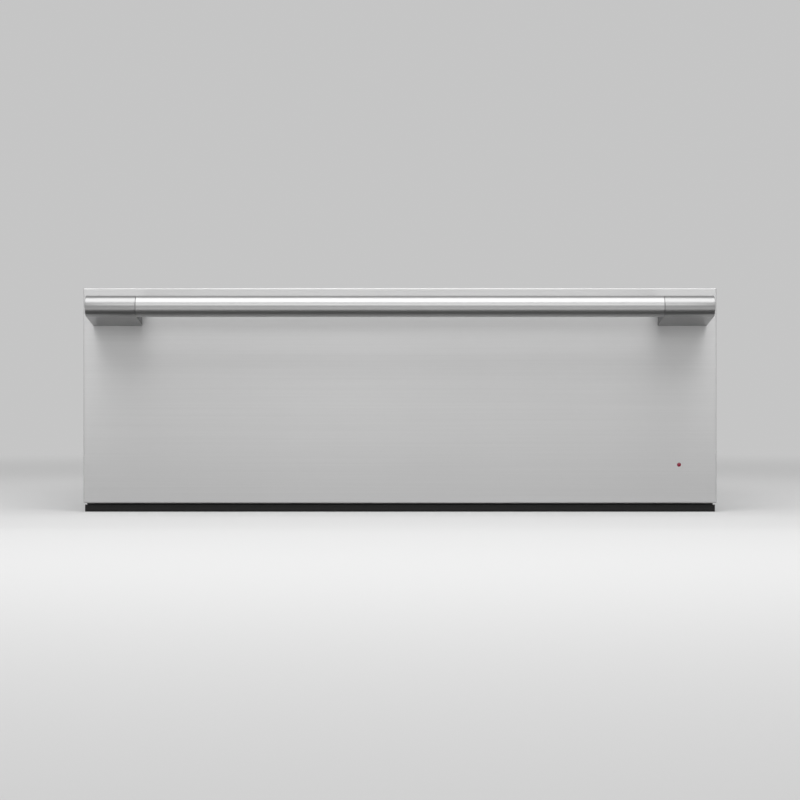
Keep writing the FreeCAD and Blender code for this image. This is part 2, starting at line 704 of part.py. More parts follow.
def button(x):
    """A flush push button with a skirt that keeps it in the strip."""
    skirt_bottom = button_skirt_top_z - BUTTON_SKIRT_HEIGHT
    top = front_top_z - SHAFT_CLEARANCE
    cap = rod(BUTTON_DIAMETER / 2, (x, strip_y, skirt_bottom), (x, strip_y, top))
    cap = cap.makeFillet(BUTTON_EDGE, edges_at(cap, "z", top))
    skirt = rod(BUTTON_SKIRT / 2, (x, strip_y, skirt_bottom), (x, strip_y, button_skirt_top_z))
    return cap.fuse(skirt).removeSplitter()


def control_board():
    """The board under the buttons, with a switch for each, hung on two posts from the strip."""
    half = STRIP_LENGTH / 2 - STRIP_WIDTH / 2
    low = board_top_z - BOARD_THICKNESS
    y0 = strip_y - STRIP_WIDTH / 2
    board = box(strip_x - half, strip_x + half, y0, strip_y + STRIP_WIDTH / 2, low, board_top_z)
    side = SWITCH_SIDE / 2
    for x in button_xs():
        switch = box(x - side, x + side, strip_y - side, strip_y + side, board_top_z, switch_top_z)
        board = board.fuse(switch)
    post = half - POST_INSET
    for x in (strip_x - post, strip_x + post):
        board = board.fuse(rod(POST_DIAMETER / 2, (x, strip_y, board_top_z), (x, strip_y, strip_bottom_z)))
    return board.removeSplitter()


# ---------------------------------------------------------------- chassis


def lower_trim():
    """A black channel under the front, fixed to the chassis."""
    half = FRONT_WIDTH / 2 - TRIM_SHORTER
    mid = TRIM_SHEET / 2
    y0 = front_y + TRIM_SETBACK + mid
    y1 = casing_y - mid
    path = [(y0, TRIM_HEIGHT), (y0, mid), (y1, mid), (y1, TRIM_BACK_HEIGHT)]
    return bent_sheet(path, TRIM_SHEET, TRIM_SHEET / 2, "yz", -half, half)


def fixing_xs():
    """The middles of the fixing flanges."""
    return [side * (CASING_WIDTH / 2 + FIXING_FLANGE / 2) for side in (-1, 1)]


def bead():
    """A bead in a sheet that lies on z = 0, and the hollow behind it, both along the middle of the sheet."""
    top = CASING_SHEET + BEAD_RISE
    y0 = casing_y + BEAD_MARGIN
    y1 = casing_back_y - BEAD_MARGIN
    rise = centred_box(BEAD_WIDTH / 2, y0, y1, 0.0, top)
    rise = rise.makeFillet(BEAD_RISE, edges_at(rise, "z", top))
    inside = BEAD_WIDTH / 2 - CASING_SHEET
    hollow = centred_box(inside, y0 + CASING_SHEET, y1 - CASING_SHEET, -CASING_SHEET, BEAD_RISE)
    return rise, hollow


def beaded(sheet, place, turn):
    """A sheet with a bead pressed into it at a place, turned about y by some degrees."""
    rise, hollow = bead()
    for shape in (rise, hollow):
        shape.rotate(V(0, 0, 0), V(0, 1, 0), turn)
        shape.translate(V(*place))
    return sheet.fuse(rise).cut(hollow)


def outer_casing():
    """Base and sides in one sheet, with flanges for the cover at the top and for the cabinet in front."""
    mid = CASING_SHEET / 2
    side = CASING_WIDTH / 2 - mid
    top = casing_height - mid
    seat = CASING_WIDTH / 2 - COVER_SEAT
    path = [(-seat, top), (-side, top), (-side, mid), (side, mid), (side, top), (seat, top)]
    shell = bent_sheet(path, CASING_SHEET, BEND_RADIUS, "xz", casing_y, casing_back_y)
    for x in fixing_xs():
        z0 = FIXING_RELIEF
        z1 = casing_height - FIXING_RELIEF
        half = FIXING_FLANGE / 2
        flange = box(x - half, x + half, casing_y, casing_y + CASING_SHEET, z0, z1)
        for z in FIXING_HOLE_Z:
            flange = flange.cut(rod(FIXING_HOLE / 2, (x, casing_y - 1, z), (x, casing_y + 5, z)))
        shell = shell.fuse(flange)
    middle = casing_height / 2
    for side in (-1, 1):
        for up in (-1, 1):
            place = (side * casing_inner_x, 0, middle + up * SIDE_BEAD_SPREAD / 2)
            shell = beaded(shell, place, side * 90)
    for x, y in cover_screw_places():
        shell = shell.cut(screw_hole((x, y, casing_height + CASING_SHEET), (0, 0, 1)))
    for side, z in back_screw_places():
        shell = shell.cut(screw_hole((side * CASING_WIDTH / 2, back_screw_y(), z), (side, 0, 0)))
    half = VENT_WIDTH / 2
    reach = VENT_LENGTH / 2 - half
    for i in range(SIDE_VENT_COUNT):
        y = casing_back_y - SIDE_VENT_INSET - i * SIDE_VENT_PITCH
        slot = centred_box(CASING_WIDTH, y - half, y + half, middle - reach, middle + reach)
        for z in (middle - reach, middle + reach):
            slot = slot.fuse(rod(half, (-CASING_WIDTH, y, z), (CASING_WIDTH, y, z)))
        shell = shell.cut(slot)
    return shell.removeSplitter()


def cover_screw_places():
    """Where the cover's screws are, along both top flanges."""
    x = CASING_WIDTH / 2 - COVER_SEAT / 2
    first = casing_y + COVER_SCREW_END
    step = (CASING_DEPTH - 2 * COVER_SCREW_END) / (COVER_SCREWS - 1)
    return [(side * x, first + i * step) for side in (-1, 1) for i in range(COVER_SCREWS)]


def top_cover():
    """The lid, stiffened with beads pressed upwards."""
    z0 = casing_height
    cover = centred_box(CASING_WIDTH / 2, casing_y, casing_back_y, z0, z0 + CASING_SHEET)
    pitch = (CASING_WIDTH - 2 * BEAD_MARGIN) / (BEAD_COUNT - 1)
    for i in range(BEAD_COUNT):
        cover = beaded(cover, ((i - (BEAD_COUNT - 1) / 2) * pitch, 0, z0), 0)
    for x, y in cover_screw_places():
        cover = cover.cut(screw_hole((x, y, z0 + CASING_SHEET), (0, 0, 1)))
    return cover.removeSplitter()


def cover_screws():
    """The screws that hold the lid."""
    seat = casing_height + CASING_SHEET
    return Part.makeCompound([screw((x, y, seat), (0, 0, 1)) for x, y in cover_screw_places()])


def back_screw_y():
    """Where the back panel's screws are, in the middle of its lips."""
    return casing_back_y - BACK_RECESS / 2


def back_screw_places():
    """Sides and heights of the back panel's screws."""
    return [(side, z) for side in (-1, 1) for z in FIXING_HOLE_Z]


def back_panel():
    """A tray set into the casing's rear, with its lips backwards, vent slots and the cable gland's hole."""
    half = casing_inner_x - FIT
    z0 = CASING_SHEET + FIT
    z1 = casing_height - CASING_SHEET - FIT
    y0 = back_plate_y - CASING_SHEET
    tray = rounded_block(centred_box(half, y0, casing_back_y, z0, z1), BEND_RADIUS, "y")
    lip = CASING_SHEET
    tray = tray.cut(centred_box(half - lip, back_plate_y, casing_back_y + 1, z0 + lip, z1 - lip))
    middle = (VENT_COUNT - 1) / 2
    for side in (-1, 1):
        for i in range(VENT_COUNT):
            z = casing_height / 2 + (i - middle) * VENT_PITCH
            slot = stadium(VENT_LENGTH, VENT_WIDTH, "xz", side * VENT_GROUP_X, z, y0 - 1, back_plate_y + 1)
            tray = tray.cut(slot)
    hole = INLET_THREAD / 2 + SHAFT_CLEARANCE
    tray = tray.cut(rod(hole, (INLET_X, y0 - 1, INLET_Z), (INLET_X, back_plate_y + 1, INLET_Z)))
    for side, z in back_screw_places():
        tray = tray.cut(screw_hole((side * CASING_WIDTH / 2, back_screw_y(), z), (side, 0, 0)))
    return tray


def back_screws():
    """The screws through the casing's sides into the back panel's lips."""
    x = CASING_WIDTH / 2
    places = back_screw_places()
    return Part.makeCompound([screw((side * x, back_screw_y(), z), (side, 0, 0)) for side, z in places])


def front_frame():
    """A frame that closes the gap between casing and cavity, with lips that go back inside the casing."""
    half = casing_inner_x - FIT
    z0 = CASING_SHEET + FIT
    z1 = casing_height - CASING_SHEET - FIT
    frame = rounded_block(centred_box(half, casing_y, casing_y + FRAME_LIP, z0, z1), BEND_RADIUS, "y")
    back = casing_y + FRAME_LIP + 1
    sheet = FRAME_SHEET
    frame = frame.cut(centred_box(half - sheet, casing_y + sheet, back, z0 + sheet, z1 - sheet))
    window = centred_box(liner_inner_x, casing_y - 1, back, cavity_floor_z, cavity_roof_z)
    return frame.cut(rounded_block(window, LINER_RADIUS, "y"))


def liner():
    """The cavity: a stainless box that is open in front."""
    outer = centred_box(liner_outer_x, liner_front_y, cavity_back_y, liner_bottom_z, liner_top_z)
    inner = centred_box(liner_inner_x, liner_front_y - 1, cavity_back_inner_y, cavity_floor_z, cavity_roof_z)
    outer = rounded_block(outer, LINER_RADIUS + LINER_SHEET, "y")
    shell = outer.cut(rounded_block(inner, LINER_RADIUS, "y"))
    for radius, x, z in back_wall_holes():
        shell = shell.cut(rod(radius, (x, cavity_back_inner_y - 1, z), (x, cavity_back_y + 1, z)))
    for place in fan_screw_places():
        shell = shell.cut(screw_hole(place, (0, -1, 0)))
    return shell


def back_wall_holes():
    """Radius and place of each hole in the cavity's back wall."""
    ends = [side * ELEMENT_PITCH * (ELEMENT_RUNS - 1) / 2 for side in (-1, 1)]
    holes = [(BUSH_DIAMETER / 2, x, element_z) for x in ends]
    holes.append((SHAFT_HOLE / 2, 0.0, fan_z))
    holes.append((PROBE_DIAMETER / 2 + SHAFT_CLEARANCE, PROBE_X, PROBE_Z))
    return holes


def wool(x0, x1, z0, z1):
    """A blanket that runs from behind the front frame's lips to the cavity's back."""
    return box(x0, x1, casing_y + FRAME_LIP + FIT, cavity_back_y, z0, z1)


def side_insulation():
    """The two blankets beside the cavity."""
    right = wool(liner_outer_x + FIT, casing_inner_x - FIT, liner_bottom_z, liner_top_z)
    return Part.makeCompound([right, mirrored(right)])


def top_insulation():
    """The blanket over the cavity, between the casing's top flanges."""
    half = CASING_WIDTH / 2 - COVER_SEAT - FIT
    return wool(-half, half, liner_top_z + FIT, liner_top_z + FIT + TOP_INSULATION)


def floor_insulation():
    """The blanket under the cavity."""
    half = casing_inner_x - FIT - BEND_RADIUS
    return wool(-half, half, CASING_SHEET + FIT, liner_bottom_z - FIT)


# ---------------------------------------------------------------- drawer


def pan_block(inset, top):
    """The pan's outer form, or its hollow when inset by the sheet."""
    y0 = front_back_y + inset
    block = centred_box(pan_outer_x - inset, y0, pan_back_y - inset, PAN_Z + inset, top)
    block = rounded_block(block, PAN_CORNER_RADIUS - inset, "z")
    return block.makeFillet(PAN_FLOOR_RADIUS - inset, edges_at(block, "z", PAN_Z + inset))


def drawer_pan():
    """The pan, with a rim turned outwards at its sides and back."""
    rim_y = pan_back_y + PAN_RIM
    rim = centred_box(pan_outer_x + PAN_RIM, front_back_y, rim_y, pan_top_z - PAN_SHEET, pan_top_z)
    corners = [e for e in edges_along(rim, "z") if e.CenterOfMass.y > pan_back_y]
    rim = rim.makeFillet(PAN_CORNER_RADIUS, corners)
    pan = pan_block(0.0, pan_top_z).fuse(rim)
    pan = pan.cut(pan_block(PAN_SHEET, pan_top_z + 1))
    for place in runner_screw_places():
        hole = screw_hole(place, (-1, 0, 0), RUNNER_SCREW_LENGTH)
        pan = pan.cut(hole).cut(mirrored(hole))
    for place in pan_screw_places():
        pan = pan.cut(screw_hole(place, (0, 1, 0)))
    return pan.removeSplitter()


def runner_screw_places():
    """Where the right inner member is screwed to the pan: the undersides of the heads, inside the pan."""
    step = (runner_length - 2 * RUNNER_SCREW_END) / (RUNNER_SCREWS - 1)
    first = runner_y + RUNNER_SCREW_END
    return [(pan_outer_x - PAN_SHEET, first + i * step, RUNNER_Z) for i in range(RUNNER_SCREWS)]


def pan_screw_places():
    """Where the pan is screwed to the door: the undersides of the heads, inside the pan."""
    return [(x, front_back_y + PAN_SHEET, pan_top_z - PAN_SCREW_DROP) for x in PAN_SCREW_XS]


def pan_screws():
    """The screws inside the pan: into the door's inner panel, and into both runners' inner members."""
    runner = [screw(place, (-1, 0, 0), RUNNER_SCREW_LENGTH) for place in runner_screw_places()]
    door = [screw(place, (0, 1, 0)) for place in pan_screw_places()]
    return Part.makeCompound(runner + [mirrored(s) for s in runner] + door)


def anti_slip_mat():
    """The mat on the pan's floor."""
    x = pan_outer_x - MAT_MARGIN
    block = centred_box(x, front_back_y + MAT_MARGIN, pan_back_y - MAT_MARGIN, pan_floor_z, mat_top_z)
    return rounded_block(block, MAT_RADIUS, "z")


# ---------------------------------------------------------------- telescopic runners


def runner_rows():
    """Heights from the runner's middle, outside in: half height of each member and of each row of balls."""
    gap = RUNNER_BALL_GAP
    outer = RUNNER_HEIGHT / 2
    outer_row = outer - RUNNER_SHEET - gap - BALL_DIAMETER / 2
    middle = outer_row - BALL_DIAMETER / 2 - gap
    inner_row = middle - RUNNER_SHEET - gap - BALL_DIAMETER / 2
    inner = inner_row - BALL_DIAMETER / 2 - gap
    return {"outer": outer, "outer_row": outer_row, "middle": middle, "inner_row": inner_row, "inner": inner}


def channel(web, lip, half_height, sheet, length, hook=0.0):
    """A channel on the right runner. web and lip are distances from the cavity's wall to the middle of the
    web and to the ends of its lips, and half_height reaches to the outside of the lips. hook turns the ends
    towards the runner's middle, or away from it where it is negative, to make the groove for the balls."""
    middle = half_height - sheet / 2
    y0 = runner_y + (runner_length - length) / 2
    end = liner_inner_x - lip
    back = liner_inner_x - web
    half = [(back, middle)]
    if hook:
        half.insert(0, (end + math.copysign(RUNNER_HOOK_WIDTH, back - end), middle))
    half.insert(0, (end, middle - hook))
    path = [(x, RUNNER_Z + z) for x, z in half] + [(x, RUNNER_Z - z) for x, z in reversed(half)]
    return bent_sheet(path, sheet, sheet / 2, "xz", y0, y0 + length)


def web_places():
    """Distance from the cavity's wall to the middle of each web, outside in."""
    step = (RUNNER_SHEET + CAGE_SHEET) / 2 + RUNNER_WEB_GAP / 2
    return [RUNNER_SHEET / 2 + i * step for i in range(4)]


def runner_member(which):
    """One of the three members of the right runner."""
    webs = web_places()
    rows = runner_rows()
    lip = RUNNER_THICKNESS - RUNNER_LIP_GAP
    if which == "outer":
        return channel(webs[0], lip, rows["outer"], RUNNER_SHEET, runner_length, RUNNER_HOOK)
    if which == "middle":
        return channel(webs[2], lip, rows["middle"], RUNNER_SHEET, runner_length)
    web = RUNNER_THICKNESS - RUNNER_SHEET / 2
    member = channel(web, RUNNER_INNER_LIP, rows["inner"], RUNNER_SHEET, runner_length, -RUNNER_HOOK)
    for x, y, z in runner_screw_places():
        member = member.cut(screw_hole((x, y, z), (-1, 0, 0), RUNNER_SCREW_LENGTH))
    return member


def ball_cage(which):
    """A cage with its balls. It reaches round both rows and has a window for each ball."""
    row = runner_rows()[which + "_row"]
    web = web_places()[1 if which == "outer" else 3]
    lip = RUNNER_THICKNESS - RUNNER_LIP_GAP - CAGE_SHORTER
    cage = channel(web, lip, row + CAGE_SHEET / 2, CAGE_SHEET, CAGE_LENGTH)
    x = liner_inner_x - BALL_LINE
    pitch = (CAGE_LENGTH - 2 * BALL_DIAMETER) / (BALLS_PER_ROW - 1)
    first = runner_y + (runner_length - CAGE_LENGTH) / 2 + BALL_DIAMETER
    balls = []
    for side in (-1, 1):
        z = RUNNER_Z + side * row
        for i in range(BALLS_PER_ROW):
            y = first + i * pitch
            window = (BALL_DIAMETER + BALL_CLEARANCE) / 2
            cage = cage.cut(rod(window, (x, y, z - 1), (x, y, z + 1)))
            balls.append(Part.makeSphere(BALL_DIAMETER / 2, V(x, y, z)))
    return Part.makeCompound([cage] + balls)


# ---------------------------------------------------------------- heating and fan


def heating_element():
    """A tube bent into a serpentine, with both ends through the cavity's back wall."""
    end = cavity_back_y + ELEMENT_TERMINAL
    xs = [(i - (ELEMENT_RUNS - 1) / 2) * ELEMENT_PITCH for i in range(ELEMENT_RUNS)]
    points = [V(xs[0], end, element_z)]
    for i, (x, after) in enumerate(zip(xs, xs[1:])):
        y = element_back_y if i % 2 else element_front_y
        points += [V(x, y, element_z), V(after, y, element_z)]
    points.append(V(xs[-1], end, element_z))
    return swept_wire(points, ELEMENT_BEND, ELEMENT_DIAMETER / 2)


def element_bushes():
    """Ceramic bushes round the element's ends, in the back wall."""
    bushes = []
    for side in (-1, 1):
        x = side * ELEMENT_PITCH * (ELEMENT_RUNS - 1) / 2
        y1 = cavity_back_y + ELEMENT_TERMINAL - BUSH_END
        y2 = cavity_back_y + BUSH_COLLAR_LENGTH
        bush = rod(BUSH_DIAMETER / 2, (x, cavity_back_inner_y - 1, element_z), (x, y1, element_z))
        bush = bush.fuse(rod(BUSH_COLLAR / 2, (x, cavity_back_y, element_z), (x, y2, element_z)))
        bore = ELEMENT_DIAMETER / 2 + SHAFT_CLEARANCE
        bush = bush.cut(rod(bore, (x, cavity_back_inner_y - 2, element_z), (x, y1 + 1, element_z)))
        bushes.append(bush.removeSplitter())
    return Part.makeCompound(bushes)


def element_clips():
    """Clips that hold the element off the cavity's floor."""
    clips = []
    radius = ELEMENT_DIAMETER / 2 + SHAFT_CLEARANCE
    for x in (-ELEMENT_PITCH * CLIP_LEG, ELEMENT_PITCH * CLIP_LEG):
        for y in (element_front_y + CLIP_INSET, element_back_y - CLIP_INSET):
            low = y - CLIP_WIDTH / 2
            high = y + CLIP_WIDTH / 2
            ring = rod(radius + CLIP_SHEET, (x, low, element_z), (x, high, element_z))
            leg = box(x - CLIP_SHEET / 2, x + CLIP_SHEET / 2, low, high, cavity_floor_z, element_z)
            top = cavity_floor_z + CLIP_SHEET
            foot = box(x - CLIP_SHEET / 2, x + CLIP_FOOT, low, high, cavity_floor_z, top)
            bore = rod(radius, (x, low - 1, element_z), (x, high + 1, element_z))
            clips.append(ring.fuse([leg, foot]).cut(bore).removeSplitter())
    return Part.makeCompound(clips)


def fan_cover():
    """A housing on the back wall, with a ring of intake holes in front of the fan and slots at its sides."""
    half = COVER_WIDTH / 2
    y0 = cavity_back_inner_y - COVER_DEPTH
    z0 = fan_z - COVER_HEIGHT / 2
    z1 = fan_z + COVER_HEIGHT / 2
    sheet = LINER_SHEET
    outer = rounded_block(centred_box(half, y0, cavity_back_inner_y, z0, z1), COVER_RADIUS, "y")
    inner = centred_box(half - sheet, y0 + sheet, cavity_back_inner_y + 1, z0 + sheet, z1 - sheet)
    wall = cavity_back_inner_y
    wide = COVER_FLANGE
    flange = centred_box(half + wide, wall - sheet, wall, z0 - wide, z1 + wide)
    cover = outer.fuse(rounded_block(flange, COVER_RADIUS, "y"))
    cover = cover.cut(rounded_block(inner, COVER_RADIUS - sheet, "y"))
    for place in fan_screw_places():
        cover = cover.cut(screw_hole(place, (0, -1, 0)))
    holes = []
    for ring in range(1, INTAKE_RINGS + 1):
        count = 6 * ring
        for i in range(count):
            turn = 2 * math.pi * i / count
            x = ring * INTAKE_PITCH * math.cos(turn)
            z = fan_z + ring * INTAKE_PITCH * math.sin(turn)
            holes.append(rod(INTAKE_HOLE / 2, (x, y0 - 1, z), (x, y0 + sheet + 1, z)))
    for side in (-1, 1):
        for i in range(OUTLET_SLOTS):
            z = fan_z + (i - (OUTLET_SLOTS - 1) / 2) * OUTLET_PITCH
            x = side * half
            middle = cavity_back_inner_y - COVER_DEPTH / 2
            holes.append(stadium(OUTLET_LENGTH, VENT_WIDTH, "yz", middle, z, x - 2, x + 2))
    return cover.cut(Part.makeCompound(holes))


def fan_screw_places():
    """Where the fan cover's screws are, at the corners of its flange."""
    x = COVER_WIDTH / 2 + COVER_FLANGE / 2
    y = cavity_back_inner_y - LINER_SHEET
    half = COVER_HEIGHT / 2 - COVER_FLANGE
    return [(side * x, y, fan_z + up * half) for side in (-1, 1) for up in (-1, 1)]


def fan_cover_screws():
    """The screws through the fan cover's flange into the cavity's back wall."""
    return Part.makeCompound([screw(place, (0, -1, 0)) for place in fan_screw_places()])


def fan_impeller():
    """A drum of curved blades between a back plate and a front ring, on a hub."""
    y1 = cavity_back_inner_y - FAN_WALL_GAP
    y0 = y1 - FAN_BLADE_WIDTH
    sheet = FAN_BLADE_SHEET
    radius = FAN_DIAMETER / 2
    plate = rod(radius, (0, y1 - sheet, fan_z), (0, y1, fan_z))
    ring = rod(radius, (0, y0, fan_z), (0, y0 + sheet, fan_z))
    ring = ring.cut(rod(radius - FAN_BLADE_DEPTH, (0, y0 - 1, fan_z), (0, y0 + 2, fan_z)))
    hub = rod(FAN_HUB_DIAMETER / 2, (0, y0 + FAN_HUB_INSET, fan_z), (0, y1, fan_z))
    line = radius - FAN_BLADE_DEPTH / 2
    curve = FAN_BLADE_RADIUS
    reach = (y0 + sheet / 2, y1 - sheet / 2)
    blade = curved_blade(line, fan_z - curve, curve, sheet, *FAN_BLADE_ANGLES, *reach)
    blades = []
    for i in range(FAN_BLADES):
        copy = blade.copy()
        copy.rotate(V(0, 0, fan_z), V(0, 1, 0), 360.0 * i / FAN_BLADES)
        blades.append(copy)
    fan = plate.fuse([ring, hub] + blades)
    bore = SHAFT_DIAMETER / 2 + SHAFT_CLEARANCE
    return fan.cut(rod(bore, (0, y0, fan_z), (0, y1 + 1, fan_z))).removeSplitter()


def fan_shaft():
    """The motor's shaft, which carries the impeller."""
    y0 = cavity_back_inner_y - FAN_WALL_GAP - FAN_BLADE_WIDTH + FAN_HUB_INSET
    y1 = cavity_back_y + MOTOR_STANDOFF + SHAFT_REACH
    return rod(SHAFT_DIAMETER / 2, (0, y0, fan_z), (0, y1, fan_z))


def fan_motor():
    """The motor, behind the cavity: a drum with two grooves round it and a bore for the shaft."""
    y0 = cavity_back_y + MOTOR_STANDOFF
    y1 = motor_back_y
    drum = rod(MOTOR_DIAMETER / 2, (0, y0, fan_z), (0, y1, fan_z))
    drum = drum.makeFillet(MOTOR_EDGE, edges_at(drum, "y", y1))
    core = rod(MOTOR_DIAMETER / 2 - MOTOR_GROOVE_DEPTH, (0, y0, fan_z), (0, y1, fan_z))
    for y in MOTOR_GROOVES:
        groove = rod(MOTOR_DIAMETER, (0, y0 + y, fan_z), (0, y0 + y + MOTOR_GROOVE_WIDTH, fan_z))
        drum = drum.cut(groove.cut(core))
    bore = SHAFT_DIAMETER / 2 + SHAFT_CLEARANCE
    y2 = y0 + SHAFT_REACH + 1
    return drum.cut(rod(bore, (0, y0 - 1, fan_z), (0, y2, fan_z)))


def motor_bracket():
    """A bridge on the back wall that carries the motor."""
    mid = CASING_SHEET / 2
    reach = MOTOR_DIAMETER / 2 + BRACKET_REACH
    foot = reach + BRACKET_FOOT
    y_wall = cavity_back_y + mid
    y_top = cavity_back_y + MOTOR_STANDOFF - mid
    path = [(-foot, y_wall), (-reach, y_wall), (-reach, y_top), (reach, y_top), (reach, y_wall)]
    path.append((foot, y_wall))
    z0 = fan_z - BRACKET_HEIGHT / 2
    bridge = bent_sheet(path, CASING_SHEET, BRACKET_BEND, "xy", z0, z0 + BRACKET_HEIGHT)
    return bridge.cut(rod(SHAFT_HOLE / 2, (0, cavity_back_y, fan_z), (0, y_top + 2, fan_z)))


def temperature_sensor():
    """A probe through the back wall, with a flange behind it."""
    front = (PROBE_X, cavity_back_inner_y - PROBE_LENGTH, PROBE_Z)
    probe = rod(PROBE_DIAMETER / 2, front, (PROBE_X, cavity_back_y + PROBE_TAIL, PROBE_Z))
    y1 = cavity_back_y + PROBE_FLANGE
    flange = rod(PROBE_DIAMETER, (PROBE_X, cavity_back_y, PROBE_Z), (PROBE_X, y1, PROBE_Z))
    return probe.fuse(flange).removeSplitter()


def thermal_cutout():
    """A round thermal switch on the outside of the back wall."""
    at = (-PROBE_X, cavity_back_y, PROBE_Z)
    disc = rod(CUTOUT_FLANGE_DIAMETER / 2, at, (-PROBE_X, cavity_back_y + PROBE_FLANGE, PROBE_Z))
    drum = rod(CUTOUT_DIAMETER / 2, at, (-PROBE_X, cavity_back_y + CUTOUT_HEIGHT, PROBE_Z))
    return disc.fuse(drum).removeSplitter()


# ---------------------------------------------------------------- rear compartment


def rear_control_box():
    """The electronics' housing, on the back wall."""
    width, depth, height = BOARD_BOX
    x0 = BOARD_BOX_X - width / 2
    block = box(x0, x0 + width, cavity_back_y, cavity_back_y + depth, BOARD_BOX_Z, BOARD_BOX_Z + height)
    return rounded_block(block, BOARD_BOX_RADIUS, "y")


def terminal_block():
    """The supply terminals, on the inside of the back panel: chambers with an entry hole each."""
    width, depth, height = TERMINAL_BLOCK
    x0 = INLET_X - width / 2
    y1 = back_plate_y - CASING_SHEET
    y0 = y1 - depth
    z0 = INLET_Z + INLET_HEX
    block = box(x0, x0 + width, y0, y1, z0, z0 + height)
    y = y0 + TERMINAL_DEPTH
    z1 = z0 + height - TERMINAL_FLOOR
    z = z0 + height / 2
    for i in range(TERMINAL_COUNT):
        x = INLET_X + (i - (TERMINAL_COUNT - 1) / 2) * width / TERMINAL_COUNT
        block = block.cut(rod(TERMINAL_CHAMBER / 2, (x, y, z0 - 1), (x, y, z1)))
        block = block.cut(rod(TERMINAL_ENTRY / 2, (x, y0 - 1, z), (x, y, z)))
    return block


def cable_gland():
    """The gland's body: a hexagon outside the back panel and a thread through it, bored for the cable."""
    y0 = back_plate_y - CASING_SHEET - INLET_THREAD / 2
    body = hexagon(INLET_HEX, INLET_X, INLET_Z, back_plate_y, back_plate_y + GLAND_HEAD)
    body = body.fuse(rod(INLET_THREAD / 2, (INLET_X, y0, INLET_Z), (INLET_X, back_plate_y + 1, INLET_Z)))
    bore = rod(INLET_BORE / 2, (INLET_X, y0 - 1, INLET_Z), (INLET_X, casing_back_y + 1, INLET_Z))
    return body.cut(bore).removeSplitter()


def gland_nut():
    """The locknut on the gland's thread, inside the back panel."""
    y1 = back_plate_y - CASING_SHEET
    nut = hexagon(INLET_HEX, INLET_X, INLET_Z, y1 - GLAND_NUT, y1)
    bore = INLET_THREAD / 2 + SHAFT_CLEARANCE
    return nut.cut(rod(bore, (INLET_X, y1 - GLAND_NUT - 1, INLET_Z), (INLET_X, y1 + 1, INLET_Z)))


# ---------------------------------------------------------------- every piece, one file each

PIECES = {
    "front_panel": front_panel,
    "door_inner_panel": door_inner_panel,
    "door_insulation": door_insulation,
    "door_seal": door_seal,
    "handle_bar": handle_bar,
    "handle_bracket_right": handle_bracket,
    "handle_bracket_left": lambda: mirrored(handle_bracket()),
    "handle_backing_plates": handle_backing_plates,
    "handle_screws": handle_screws,
    "pilot_lens": pilot_lens,
    "pilot_lamp_holder": pilot_lamp_holder,
    "control_strip": control_strip,
    "control_board": control_board,
    "lower_trim": lower_trim,
    "outer_casing": outer_casing,
    "top_cover": top_cover,
    "cover_screws": cover_screws,
    "back_panel": back_panel,
    "back_screws": back_screws,
    "front_frame": front_frame,
    "liner": liner,
    "side_insulation": side_insulation,
    "top_insulation": top_insulation,
    "floor_insulation": floor_insulation,
    "drawer_pan": drawer_pan,
    "pan_screws": pan_screws,
    "anti_slip_mat": anti_slip_mat,
    "heating_element": heating_element,
    "element_bushes": element_bushes,
    "element_clips": element_clips,
    "fan_cover": fan_cover,
    "fan_cover_screws": fan_cover_screws,
    "fan_impeller": fan_impeller,
    "fan_shaft": fan_shaft,
    "fan_motor": fan_motor,
    "motor_bracket": motor_bracket,
    "temperature_sensor": temperature_sensor,
    "thermal_cutout": thermal_cutout,
    "rear_control_box": rear_control_box,
    "terminal_block": terminal_block,
    "cable_gland": cable_gland,
    "gland_nut": gland_nut,
}


def all_pieces():
    """Every piece by name, with the buttons and both runners added."""
    pieces = {name: make() for name, make in PIECES.items()}
    for name, x in zip(BUTTON_NAMES, button_xs()):
        pieces["button_" + name] = button(x)
    for which in ("outer", "middle", "inner"):
        member = runner_member(which)
        pieces["runner_" + which + "_right"] = member
        pieces["runner_" + which + "_left"] = mirrored(member)
    for which in ("outer", "inner"):
        cage = ball_cage(which)
        pieces["ball_cage_" + which + "_right"] = cage
        pieces["ball_cage_" + which + "_left"] = mirrored(cage)
    return pieces


os.makedirs("parts", exist_ok=True)
for piece_name, piece in all_pieces().items():
    piece.exportStep("parts/" + piece_name + ".step")
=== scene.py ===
# %% [markdown]
# # A built-in warming drawer
#
# A warming drawer is a shallow heated box that keeps plates and food warm. What people see of it is a
# folded stainless front with a round bar handle right across it, a small red pilot light, and a black strip
# below. Behind the front are a pan on ball runners, a lined cavity with a heating element and a fan, and a
# plain steel casing.
#
# The drawer's solids come ready made and in place. This lesson gives each of them its finish, and replaces
# the ones that people look at or touch with finer surfaces, each worked out from a short formula.

